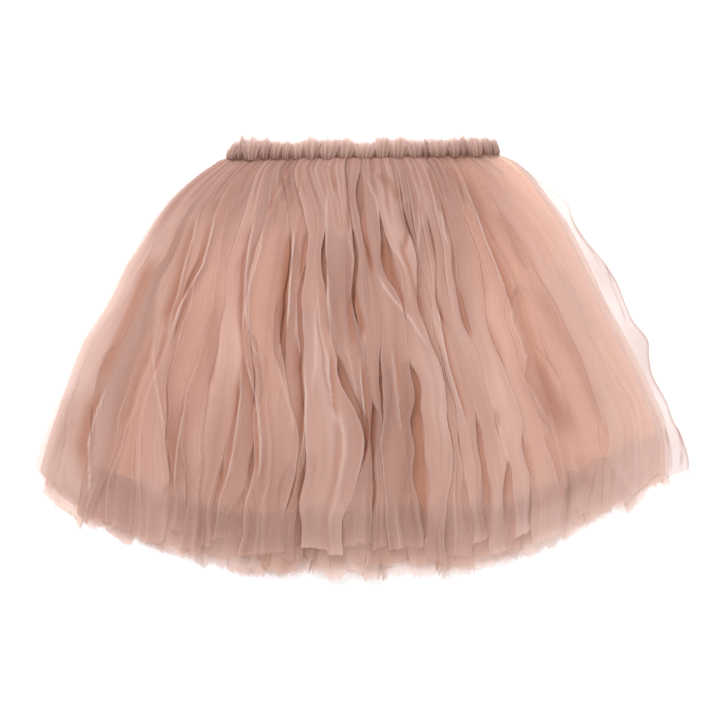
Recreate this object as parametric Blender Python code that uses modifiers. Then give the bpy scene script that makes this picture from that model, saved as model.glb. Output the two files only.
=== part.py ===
"""Child's gathered tulle skirt, laid flat on its back: four layers, each a front and a back panel, and a frilled waist.

Metres. X runs across the skirt, Y from the hem up to the waist, and Z up from the surface that the skirt lies on.
The origin is under the middle of the skirt, on that surface.

Every panel is drawn on one fan of flow lines. "down" is 0 at the waist seam and 1 at the longest hem, and "across" runs
from -1 to 1 between the two side edges of the widest layer. The panels are laid one by one on a height map of the pile.
"""

import math
from collections import namedtuple

import bmesh
import bpy
import numpy as np

MM = 0.001

# Driving dimensions
WAIST_HALF = 0.121  # half the width of the gathered waist seam, relaxed
HEM_HALF = 0.290  # half the width of the widest layer at its hem
SEAM_Y = 0.1785  # where the panels hang from the frilled waist
FRILL_HEIGHT = 0.0165  # the frill's height above that seam
LONGEST = 0.3735  # seam to longest hem, down the middle
LENGTH_AT_SIDE = 0.277  # seam to hem of the widest layer, down the side edge, as laid
HEM_CURVE = 3.0  # how late the hem's arc turns up towards the sides
SHOULDER = 0.6  # how fast the sides round out below the waist: smaller is faster

WALL = 1.05 * MM  # thickness of one layer of cloth
SEAM_GAP = 0.3 * MM  # between pieces that are sewn together
LAYER_GAP = 0.3 * MM  # between one panel and the pile that it lies on
RISE_FULL_AT = 0.28  # the folds reach their full height this far down
SWAY = 0.5  # how far the lower panels' folds wander, in shares of a fold's half width
UNEVEN_HEM = 6 * MM  # between the hems of a lower panel's highest fold and of one with no height

MAP_STEP = 1 / 120  # of the pile's height map, along "across"
MAP_ACROSS = np.linspace(-1, 1, round(2 / MAP_STEP) + 1)
MAP_DOWN = np.linspace(0, 1, 51)

FULL_STATIONS = (0.0, 0.035, 0.09, 0.17, 0.28, 0.41, 0.55, 0.69, 0.82)  # rows of the top panel, above its hem
HIDDEN_STATIONS = (0.0, 0.09, 0.28, 0.55, 0.78)  # rows of the panels under it

# One row for each panel, from the bottom of the pile up. Widths are shares of the widest layer's.
Panel = namedtuple(
    "Panel",
    "name colour waist_share hem_share hem_down hem_down_side folds seam_rise_mm rise_mm stations",
)
PANELS = (
    Panel("outer_tulle_back", "mauve", 1.00, 1.00, 0.925, 1.00, 12, 0.5, 1.2, HIDDEN_STATIONS),
    Panel("middle_tulle_back", "rose", 0.96, 0.95, 0.955, 0.99, 9, 0.3, 1.2, HIDDEN_STATIONS),
    Panel("inner_tulle_back", "blush", 0.92, 0.905, 0.995, 1.00, 9, 0.3, 1.2, HIDDEN_STATIONS),
    Panel("lining_back", "peach", 0.84, 0.78, 0.835, 0.82, 5, 0.2, 1.0, HIDDEN_STATIONS[:4]),
    Panel("lining_front", "peach", 0.84, 0.78, 0.835, 0.82, 7, 0.3, 2.2, HIDDEN_STATIONS[:4]),
    Panel("inner_tulle_front", "blush", 0.92, 0.905, 1.00, 1.00, 13, 0.7, 5.0, HIDDEN_STATIONS),
    Panel("middle_tulle_front", "rose", 0.96, 0.95, 0.96, 1.00, 15, 0.9, 6.0, HIDDEN_STATIONS),
    Panel("outer_tulle_front", "mauve", 1.00, 1.00, 0.92, 1.00, 25, 2.0, 9.5, FULL_STATIONS),
)

# One row for each fold of the top panel, left to right: where its left valley lies across the skirt, part of the
# way down and at the hem, how high it stands, and how far its hem hangs below the panel's even hem line.
MID_DOWN, MID_HALF_MM = 0.36, 221
LOW_DOWN, LOW_HALF_MM = 0.80, 284
Fold = namedtuple("Fold", "mid_mm low_mm rise hem_drop_mm")
TOP_FOLDS = (
    Fold(-221, -284, 0.45, 0),
    Fold(-202, -260, 0.70, 3),
    Fold(-193, -244, 0.60, -2),
    Fold(-180, -223, 0.80, 4),
    Fold(-168, -202, 0.55, -3),
    Fold(-156, -182, 0.75, 2),
    Fold(-142, -165, 0.60, -2),
    Fold(-125, -143, 0.85, 3),
    Fold(-104, -117, 0.55, 5),
    Fold(-91, -99, 1.00, -3),
    Fold(-65, -67, 0.65, 6),
    Fold(-52, -49, 0.95, 1),
    Fold(-32, -19, 1.00, -1),
    Fold(-11, 10, 0.60, 3),
    Fold(10, 34, 1.00, -1),
    Fold(26, 55, 0.70, 4),
    Fold(44, 76, 0.85, 6),
    Fold(65, 99, 0.60, -3),
    Fold(88, 121, 0.80, 2),
    Fold(106, 144, 0.65, -4),
    Fold(124, 166, 0.85, 3),
    Fold(144, 188, 0.60, -2),
    Fold(160, 210, 0.75, 4),
    Fold(177, 231, 0.60, -2),
    Fold(194, 250, 0.50, 2),
)

# The cross-section of one fold: share of the fold's width, share of its height.
Station = namedtuple("Station", "along height")
CRISP_FOLD = (Station(0.00, 0.0), Station(0.10, 0.0), Station(0.25, 0.90), Station(0.55, 1.0), Station(0.85, 0.90))
CRISP_AT_SEAM = (Station(0.00, 0.0), Station(0.20, 0.0), Station(0.40, 0.85), Station(0.60, 1.0), Station(0.80, 0.85))
SOFT_FOLD = (Station(0.00, 0.0), Station(0.27, 0.60), Station(0.50, 1.0), Station(0.73, 0.60))
UNEVEN_RISE = (1.0, 0.8, 0.92, 0.7, 0.86, 0.96, 0.75)  # folds of the other panels, in turn

# The waist frill: gathers stand up from the seam and flute out towards the raw top edge, between these heights.
Frill = namedtuple("Frill", "name gathers low_mm high_mm end_mm")
FRILLS = (
    Frill("waist_frill_back", 22, 0.2, 6.6, 0.2),
    Frill("waist_frill_front", 36, 7.4, 15.6, 1.4),
)
FrillStation = namedtuple("FrillStation", "up flute spread")  # share of the height, of the depth, of the seam's width
FRILL_STATIONS = (FrillStation(1.0, 1.0, 0.995), FrillStation(0.42, 0.75, 0.985), FrillStation(0.0, 0.6, 1.0))
FRILL_EDGE = 1.6 * MM  # how unevenly the raw edge ends
FRILL_END_POWER = 10  # how late the frill thins out towards its ends, where front and back are joined

# Linear base colours and roughness
COLOURS = {
    "mauve": (0.55, 0.33, 0.29),
    "rose": (0.57, 0.34, 0.28),
    "blush": (0.60, 0.38, 0.32),
    "peach": (0.62, 0.36, 0.26),
}
ROUGHNESS = {"mauve": 0.75, "rose": 0.75, "blush": 0.75, "peach": 0.55}


def smooth(value):
    value = min(1.0, max(0.0, value))
    return value * value * (3 - 2 * value)


def half_width(down):
    """Half the width of the widest layer."""
    return WAIST_HALF + (HEM_HALF - WAIST_HALF) * down**SHOULDER


def length(across):
    """Seam to longest hem, along Y."""
    return LONGEST - (LONGEST - LENGTH_AT_SIDE) * abs(across) ** HEM_CURVE


def share_of_width(panel, down):
    """A panel's width against the widest layer's."""
    return panel.waist_share + (panel.hem_share - panel.waist_share) * smooth(down / 0.6)


def rise(panel, down, across):
    """The height of a full fold. It grows below the seam, and the pile is a dome that thins out to its side edges."""
    grown = panel.seam_rise_mm + (panel.rise_mm - panel.seam_rise_mm) * min(1.0, down / RISE_FULL_AT)
    place = min(1.0, abs(across) / share_of_width(panel, down))
    return grown * MM * (1 - place * place)


def valley_place(panel, number, down):
    """Where a fold's left valley lies at this height, from -1 to 1 across its own panel."""
    even = 2 * number / panel.folds - 1
    if number in (0, panel.folds):
        return even
    if panel.folds != len(TOP_FOLDS):
        return even + SWAY / panel.folds * math.sin(2.3 * number + 4.0 * down)
    fold = TOP_FOLDS[number]
    middle, low = fold.mid_mm / MID_HALF_MM, fold.low_mm / LOW_HALF_MM
    if down < MID_DOWN:
        return even + (middle - even) * smooth(down / MID_DOWN)
    return middle + (low - middle) * smooth((down - MID_DOWN) / (LOW_DOWN - MID_DOWN))


def fold_section(panel, down):
    """The fold's cross-section: crisp ribbons on the top panel, which round off towards the seam."""
    if panel.folds != len(TOP_FOLDS):
        return SOFT_FOLD
    crisp = smooth(down / RISE_FULL_AT)
    return [
        Station(seam.along + (low.along - seam.along) * crisp, seam.height + (low.height - seam.height) * crisp)
        for seam, low in zip(CRISP_AT_SEAM, CRISP_FOLD)
    ]


def fold_facts(panel, number):
    """(share of the full height, how far its hem hangs below the even hem line)."""
    if number >= panel.folds:
        return 0.0, 0.0
    if panel.folds == len(TOP_FOLDS):
        return TOP_FOLDS[number].rise, TOP_FOLDS[number].hem_drop_mm * MM
    share = UNEVEN_RISE[number % len(UNEVEN_RISE)]
    return share, UNEVEN_HEM * (share - UNEVEN_RISE[0])


def panel_net(panel):
    """Each point's (down, across, share of a full fold's height), by row from the seam and column from the left."""
    step_count = len(fold_section(panel, 0))
    net = np.zeros((len(panel.stations) + 1, panel.folds * step_count + 1, 3))
    for row, column in np.ndindex(net.shape[:2]):
        number, step = divmod(column, step_count)
        share, hem_drop = fold_facts(panel, number)
        if row < len(panel.stations):
            down = panel.stations[row]
        else:
            place = 2 * column / (net.shape[1] - 1) - 1
            hem = panel.hem_down + (panel.hem_down_side - panel.hem_down) * place * place
            down = min(1.0, hem + hem_drop / LONGEST)
        station = fold_section(panel, down)[step]
        place = valley_place(panel, number, down)
        if number < panel.folds:
            place += (valley_place(panel, number + 1, down) - place) * station.along
        net[row, column] = down, place * share_of_width(panel, down), station.height * share
    return net


def lay_on_pile(panel, net, pile):
    """The height of the pile under each point of the panel, and the pile with this panel on it."""
    under = np.zeros(net.shape[:2])
    for row, column in np.ndindex(under.shape):
        near = net[max(0, row - 1) : row + 2, max(0, column - 1) : column + 2]
        rows = np.searchsorted(MAP_DOWN, [near[:, :, 0].min(), near[:, :, 0].max()])
        columns = np.searchsorted(MAP_ACROSS, [near[:, :, 1].min(), near[:, :, 1].max()])
        under[row, column] = pile[max(0, rows[0] - 1) : rows[1] + 1, max(0, columns[0] - 1) : columns[1] + 1].max()
    covered = pile.copy()
    for row, down in enumerate(MAP_DOWN):
        across = [np.interp(down, line[:, 0], line[:, 1]) for line in np.swapaxes(net, 0, 1)]
        height = [np.interp(down, line[:, 0], base) for line, base in zip(np.swapaxes(net, 0, 1), under.T)]
        for column, place in enumerate(MAP_ACROSS):
            if abs(place) < share_of_width(panel, down) + MAP_STEP:
                top = np.interp(place, across, height) + rise(panel, down, place)
                covered[row, column] = top + WALL + LAYER_GAP
    return under, covered


def panel_points(net, panel, under):
    """The points of the panel's middle surface."""
    points = np.zeros((*under.shape, 3))
    for row, column in np.ndindex(under.shape):
        down, across, share = net[row, column]
        height = under[row, column] + WALL / 2 + share * rise(panel, down, across)
        hang = SEAM_GAP + down * (length(across) - SEAM_GAP)
        points[row, column] = across * half_width(down), SEAM_Y - hang, height
    return points


def frill_points(frill):
    """The points of the frill's middle surface, by row from its raw top edge."""
    points = np.zeros((len(FRILL_STATIONS), 4 * frill.gathers + 1, 3))
    for row, station in enumerate(FRILL_STATIONS):
        for column in range(points.shape[1]):
            across = 2 * column / (points.shape[1] - 1) - 1
            swell = 1 - abs(across) ** FRILL_END_POWER
            low = (frill.end_mm + (frill.low_mm - frill.end_mm) * swell) * MM + WALL / 2
            high = (frill.end_mm + (frill.high_mm - frill.end_mm) * swell) * MM - WALL / 2
            depth = station.flute * (0.8 + 0.2 * math.sin(0.8 * column))
            wave = 0.5 - 0.5 * depth * math.cos(column / 4 * math.tau)
            uneven = FRILL_EDGE * (0.5 + 0.5 * math.sin(1.9 * column) * math.sin(0.37 * column + 1))
            y = SEAM_Y + station.up * (FRILL_HEIGHT - (uneven if row == 0 and 0 < column else 0))
            points[row, column] = across * WAIST_HALF * station.spread, y, low + max(0, high - low) * wave
    return points


def cloth_wall(name, colour, points, flat_under=False):
    """A wall of cloth on a net of points. Row 0 is at the top and column 0 at the left, seen from above."""
    rows, columns = points.shape[0] - 1, points.shape[1] - 1
    sheet = bmesh.new()
    bmesh.ops.create_grid(sheet, x_segments=columns, y_segments=rows, size=1)
    for point in sheet.verts:
        column = round((point.co.x + 1) / 2 * columns)
        row = round((1 - point.co.y) / 2 * rows)
        point.co = points[row, column]
    if flat_under:
        thicken_down_to_floor(sheet)
    mesh = bpy.data.meshes.new(name)
    sheet.to_mesh(mesh)
    sheet.free()
    mesh.shade_smooth()
    wall = bpy.data.objects.new(name, mesh)
    wall.data.materials.append(colour)
    if not flat_under:
        solid = wall.modifiers.new("wall", "SOLIDIFY")
        solid.thickness = WALL
        solid.offset = 0
        solid.use_even_offset = True
    return wall


def thicken_down_to_floor(sheet):
    """Make a wall whose upper side is the sheet, and whose underside is flat, at Z 0."""
    made = bmesh.ops.extrude_face_region(sheet, geom=list(sheet.faces))
    upper = [part for part in made["geom"] if isinstance(part, bmesh.types.BMVert)]
    for point in sheet.verts:
        point.co.z += WALL / 2
    for point in set(sheet.verts) - set(upper):
        point.co.z = 0
    bmesh.ops.recalc_face_normals(sheet, faces=list(sheet.faces))


def cloth_colour(name):
    colour = bpy.data.materials.new(name)
    colour.use_nodes = True
    shader = colour.node_tree.nodes["Principled BSDF"]
    shader.inputs["Base Color"].default_value = (*COLOURS[name], 1)
    shader.inputs["Roughness"].default_value = ROUGHNESS[name]
    shader.inputs["Metallic"].default_value = 0
    return colour


def main():
    for old in list(bpy.data.objects):
        bpy.data.objects.remove(old)
    skirt = bpy.data.collections.new("tulle_skirt")
    bpy.context.scene.collection.children.link(skirt)
    colours = {name: cloth_colour(name) for name in COLOURS}
    pile = np.zeros((len(MAP_DOWN), len(MAP_ACROSS)))
    for panel in PANELS:
        net = panel_net(panel)
        under, pile = lay_on_pile(panel, net, pile)
        points = panel_points(net, panel, under)
        skirt.objects.link(cloth_wall(panel.name, colours[panel.colour], points, panel is PANELS[0]))
    for frill in FRILLS:
        skirt.objects.link(cloth_wall(frill.name, colours["rose"], frill_points(frill)))


main()
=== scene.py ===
import math
from collections import namedtuple

import bpy
import numpy as np
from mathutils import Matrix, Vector


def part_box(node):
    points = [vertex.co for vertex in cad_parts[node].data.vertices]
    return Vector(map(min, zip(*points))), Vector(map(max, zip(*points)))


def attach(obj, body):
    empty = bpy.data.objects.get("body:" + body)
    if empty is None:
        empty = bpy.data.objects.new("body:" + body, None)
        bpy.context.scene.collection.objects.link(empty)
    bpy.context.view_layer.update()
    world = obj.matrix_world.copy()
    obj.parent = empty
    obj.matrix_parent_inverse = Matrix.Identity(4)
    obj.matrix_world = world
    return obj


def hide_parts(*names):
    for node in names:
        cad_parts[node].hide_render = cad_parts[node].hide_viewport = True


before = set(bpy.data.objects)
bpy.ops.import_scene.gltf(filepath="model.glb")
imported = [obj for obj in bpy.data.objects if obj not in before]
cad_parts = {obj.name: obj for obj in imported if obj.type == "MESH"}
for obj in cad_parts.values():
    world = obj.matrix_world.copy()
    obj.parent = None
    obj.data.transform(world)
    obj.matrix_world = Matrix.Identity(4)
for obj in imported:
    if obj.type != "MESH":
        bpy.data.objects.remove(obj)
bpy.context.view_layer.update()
mm = 0.001

print("lie of the skirt")
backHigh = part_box("outer_tulle_back")[1]
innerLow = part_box("inner_tulle_front")[0]
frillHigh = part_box("waist_frill_front")[1]
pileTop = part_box("outer_tulle_front")[1][2]

lie = {
    "waistHalf": frillHigh[0] - 0.4 * mm,
    "hemHalf": backHigh[0],
    "seamY": backHigh[1],
    "longest": backHigh[1] - innerLow[1],
    "sideLength": 277 * mm,  # seam to hem down the side edge
    "hemCurve": 3.0,  # how late the hem turns up towards the sides
    "shoulder": 0.6,  # how fast the sides round out under the waist
    "pileAtSeam": 13.5 * mm,  # how high the layers lie on each other
    "pileFull": pileTop - 0.5 * mm,
    "pileAtEdge": 2.6 * mm,
    "fullAt": 0.3,  # the pile is at its full height from here down
    "hemDroop": 0.35,  # how much lower it lies at the hem
    "rightShorter": 12 * mm,  # how much higher the hem lies on the right
    "cornerBack": 0.8,  # and how much of that the right corner gets back
    "rightWarm": 1.0,  # how much of its darker tone and painted shade the cloth loses right of the middle
    "rightPale": 0.7,  # how pale the thin net looks towards the right
    "rightHemPale": 0.7,  # and at its hem there
    "leftPale": 0.42,  # and in its left fringe
    "clumps": 21,  # of the frill
    "clumpSeed": 40,
    "clumpWidths": (0.35, 1.9),  # narrowest and widest, against each other
    "seamDip": 2.0 * mm,  # how far the seam sags between the frill's pinches
    "dipSpread": (0.3, 1.3),
    "dipRunsOut": 0.015,
    "seamPinch": 0.3,  # how much flatter the pile is at the seam itself
    "pinchRunsOut": 0.02,
    "seamRise": 3.5 * mm,  # how much higher the waist seam lies at the right end
}

# Stretches over which something comes in or goes out: where each starts and how far it runs. Places across
# are shares of the half width, from -1 at the left edge to 1 at the right, and places down are shares of the
# way from seam to hem.
zones = {
    "shorterHem": (0.25, 0.55),
    "rightCorner": (0.86, 0.14),
    "seamRise": (0.1, 0.8),
    "foldsFree": (0.0, 0.35),
    "foldsFull": (0.0, 0.10),
    "upperFolds": (0.04, 0.32),
    "softSides": (0.30, 0.35),
    "duskUnderSeam": (0.02, 0.32),
    "gathersGone": (0.0, 0.10),
    "seamShade": (0.0, 0.30),
    "hemDroop": (0.88, 0.12),
    "sideClosing": (0.93, 0.07),
    "looserHem": (0.6, 0.25),
    "paleRight": (0.6, 0.34),
    "paleRightOut": (0.94, 0.03),
    "paleLeft": (0.80, 0.18),
    "paleLeftBelow": (0.12, 0.3),
    "nearSeam": (0.06, 0.24),
    "warm": (0.18, 0.15),
    "warmOut": (0.5, 0.15),
    "warmBelow": (0.2, 0.25),
    "hem": (0.84, 0.1),
    "pastLining": (0.838, 0.012),
    "pastLiningOut": (0.865, 0.055),
    "paleHem": (0.3, 0.25),
    "paleHemOut": (0.85, 0.1),
    "softLines": (0.6, 0.2),
    "seamCover": (0.03, 0.27),
    "seamCoverOut": (0.3, 0.4),
    "hemCover": (0.80, 0.1),
    "puff": (0.955, 0.04),
    "film": (0.955, 0.012),
    "filmRim": (0.99, 0.008),
}


def smoothStep(value):
    value = np.clip(value, 0, 1)
    return value * value * (3 - 2 * value)


def bump(aside, width):
    # 1 in the middle, running out to both sides
    return np.exp(-((aside / width) ** 2))


def comesIn(name, place):
    # 0 before a zone, 1 past it
    start, run = zones[name]
    return smoothStep((place - start) / run)


def goesOut(name, place):
    return 1 - comesIn(name, place)


def smoothTable(stations, rows, down):
    # a soft curve through each row's values, level past its two ends
    stations, rows = np.asarray(stations), np.asarray(rows, float)
    slope = np.gradient(rows, stations, axis=1)
    place = np.clip(down, stations[0], stations[-1])
    left = np.clip(np.searchsorted(stations, place, side="right") - 1, 0, len(stations) - 2)
    span = stations[left + 1] - stations[left]
    t = (place - stations[left]) / span
    before, after = rows[:, left], rows[:, left + 1]
    slopeBefore, slopeAfter = slope[:, left] * span, slope[:, left + 1] * span
    curve = (2 * t**3 - 3 * t**2 + 1) * before + (t**3 - 2 * t**2 + t) * slopeBefore
    return curve + (3 * t**2 - 2 * t**3) * after + (t**3 - t**2) * slopeAfter


def slowNoise(seed, count, places, waves=(1.0, 2.3, 4.1), strengths=(1.0, 0.55, 0.3)):
    # smooth chance curves, one for each of count rows, read at places from 0 to 1
    chance = np.random.RandomState(seed)
    places = np.asarray(places)
    total = np.zeros((count,) + places.shape)
    for wave, strength in zip(waves, strengths):
        phase = chance.uniform(0, math.tau, count)
        pace = wave * chance.uniform(0.8, 1.25, count)
        shape = (count,) + (1,) * places.ndim
        total += strength * np.sin(math.tau * pace.reshape(shape) * places[None] + phase.reshape(shape))
    return total / sum(strengths)


def chanceBorders(widths):
    # borders of stretches of these widths laid side by side from -1 to 1
    return np.concatenate([[0], np.cumsum(widths)]) / widths.sum() * 2 - 1


def halfWidth(down):
    return lie["waistHalf"] + (lie["hemHalf"] - lie["waistHalf"]) * np.maximum(down, 0) ** lie["shoulder"]


# How much lower the hem hangs than an even curve at these places across, in mm.
hemPlaces = (-1.0, -0.9, -0.8, -0.65, -0.52, -0.43, -0.34, -0.25, -0.16, 0.04, 0.13, 0.22, 0.3)
hemExtra = (0, 6, 6, 3, 2, 6, 4, 5, 0, 0, -5, -2, 0)


def hangLength(across):
    length = lie["longest"] - (lie["longest"] - lie["sideLength"]) * np.abs(across) ** lie["hemCurve"]
    shorter = comesIn("shorterHem", across) * (1 - lie["cornerBack"] * comesIn("rightCorner", across))
    return length - lie["rightShorter"] * shorter + np.interp(across, hemPlaces, hemExtra) * mm


# How far each side lies out from an even fan at these shares of the way down, in mm.
sideStations = (0.0, 0.02, 0.07, 0.13, 0.20, 0.28, 0.34, 0.40, 0.46, 0.52, 0.58, 0.66, 0.74, 0.80, 0.88, 1.0)
rightSide = (2, 4, 4, 2, 4, 2, 1, 0, 0, 2, 4, 7, 8, 10, 6, -7)
leftSide = (-1, -6, -4, -1, 0, 0, 2, 1, 1, 4, 8, 7, 6, 5, 4, 1)


def sideShift(across, down):
    right = np.interp(down, sideStations, rightSide) * mm * np.clip(across, 0, 1) ** 2
    left = np.interp(down, sideStations, leftSide) * mm * np.clip(-across, 0, 1) ** 2
    return right - left


# How far the sheer outermost net puffs out past the right side at these shares of the way down, in mm.
puffStations = (
    0.0, 0.08, 0.145, 0.208, 0.27, 0.333, 0.396, 0.46, 0.524,
    0.589, 0.637, 0.684, 0.76, 0.845, 0.91, 0.97, 1.0,
)
rightPuff = (-5, -5, 5, -2, 0, 5, 8, 6, 3, 6, -1, -6, -6, -5, 2, 7, 8)


def puffOut(across, down):
    puff = smoothTable(puffStations, (rightPuff,), down.reshape(-1))[0].reshape(down.shape)
    return puff * mm * comesIn("puff", across)


def seamLift(across):
    return lie["seamRise"] * comesIn("seamRise", across)


def clumpBorders():
    return chanceBorders(np.random.RandomState(lie["clumpSeed"]).uniform(*lie["clumpWidths"], lie["clumps"]))


def seamClump(across):
    # which clump of the frill each place across is in, and how far across it, from -1 to 1
    turn = np.interp(across, clumpBorders(), np.arange(lie["clumps"] + 1))
    clump = np.clip(np.floor(turn), 0, lie["clumps"] - 1).astype(int)
    return clump, 2 * (turn - clump) - 1


def seamDip(across):
    clump, within = seamClump(across)
    dips = np.random.RandomState(lie["clumpSeed"] + 1).uniform(*lie["dipSpread"], lie["clumps"])
    offEnds = np.clip(1 - np.abs(across) ** 12, 0, 1)  # none at the seam's two ends
    return lie["seamDip"] * dips[clump] * (1 - within * within) * offEnds


def pileHeight(across, down):
    grown = smoothStep(down / lie["fullAt"] * 0.5 + 0.5) * 2 - 1  # fast at the seam, level from fullAt
    centre = lie["pileAtSeam"] + (lie["pileFull"] - lie["pileAtSeam"]) * grown
    height = lie["pileAtEdge"] + (centre - lie["pileAtEdge"]) * np.clip(1 - across * across, 0, 1)
    return height * (1 - lie["seamPinch"] * np.exp(-down / lie["pinchRunsOut"]))


print("folds")
# The top layer's folds, left to right: where the valley left of each fold runs, in mm from the skirt's middle
# at the stations' shares of the way down, the gap in mm that stays open between the two folds, and which fold
# laps over the other: above 0 the right one. Then the fold's own height as a share, and its hem's drop in mm.
foldRow = namedtuple("foldRow", "valley gap lap height hemDrop")
foldStations = (0.03, 0.14, 0.26, 0.38, 0.51, 0.70, 0.90)
gapStations = (0.14, 0.45, 0.85)
topFolds = [foldRow(*row) for row in (
    # valley at each station, gap high, middle and low, lap, height, hem drop
    ((-141, -172, -196, -215, -233, -257, -279), (0, 0, 0), 0.0, 0.55, 0),
    ((-130, -163, -184, -203, -222, -246, -265), (1, 1, 1), 0.3, 0.70, -4),
    ((-126, -152, -172, -192, -208, -233, -242), (2, 4, 8), 0.5, 0.80, 10),
    ((-121, -147, -164, -179, -186, -203, -225), (1, 3, 6), 0.3, 0.70, 0),
    ((-116, -140, -151, -161, -176, -193, -197), (5, 7, 3), -0.3, 0.75, 4),
    ((-109, -131, -140, -154, -169, -170, -170), (5, 4, 6), 0.6, 0.70, -8),
    ((-101, -117, -125, -130, -146, -156, -156), (1, 1, 2), 0.3, 0.75, 6),
    ((-93, -104, -117, -119, -130, -137, -141), (1, 1, 3), -0.4, 0.70, -4),
    ((-86, -93, -104, -107, -107, -115, -131), (5, 3, 5), 0.2, 0.75, -12),
    ((-79, -82, -98, -101, -96, -94, -107), (1, 4, 8), 0.5, 1.00, 0),
    ((-71, -66, -65, -67, -70, -58, -68), (6, 5, 2), -0.5, 0.70, 6),
    ((-61, -51, -50, -55, -51, -50, -57), (4, 4, 6), 0.3, 0.85, 2),
    ((-44, -34, -36, -32, -21, 1, -16), (2, 9, 3), -0.6, 1.00, -4),
    ((-15, -11, -7, -7, 0, 12, 7), (4, 7, 7), -0.7, 0.65, 0),
    ((0, 0, 7, 17, 16, 20, 22), (5, 3, 3), 0.3, 0.95, 2),
    ((13, 16, 23, 37, 42, 51, 55), (3, 14, 12), -0.3, 0.90, 12),
    ((30, 36, 46, 52, 69, 76, 74), (2, 3, 2), -0.4, 0.70, 4),
    ((37, 45, 51, 60, 73, 88, 95), (3, 2, 2), 0.3, 0.65, -6),
    ((46, 56, 64, 70, 84, 103, 112), (3, 3, 8), -0.3, 0.80, 6),
    ((59, 72, 81, 90, 104, 119, 132), (2, 4, 8), 0.4, 0.70, -4),
    ((73, 87, 103, 112, 122, 140, 150), (3, 3, 4), -0.3, 0.85, 4),
    ((88, 103, 122, 137, 151, 167, 180), (6, 12, 6), -0.5, 0.70, -6),
    ((94, 119, 144, 166, 185, 203, 212), (1, 4, 2), 0.3, 0.75, 4),
    ((102, 137, 165, 184, 203, 227, 242), (1, 2, 2), -0.4, 0.65, -4),
    ((110, 155, 183, 202, 219, 243, 262), (1, 1, 1), -0.3, 0.55, 6),
    ((141, 172, 196, 215, 233, 257, 279), (0, 0, 0), 0.0, 0.55, 0),
)]
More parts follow.
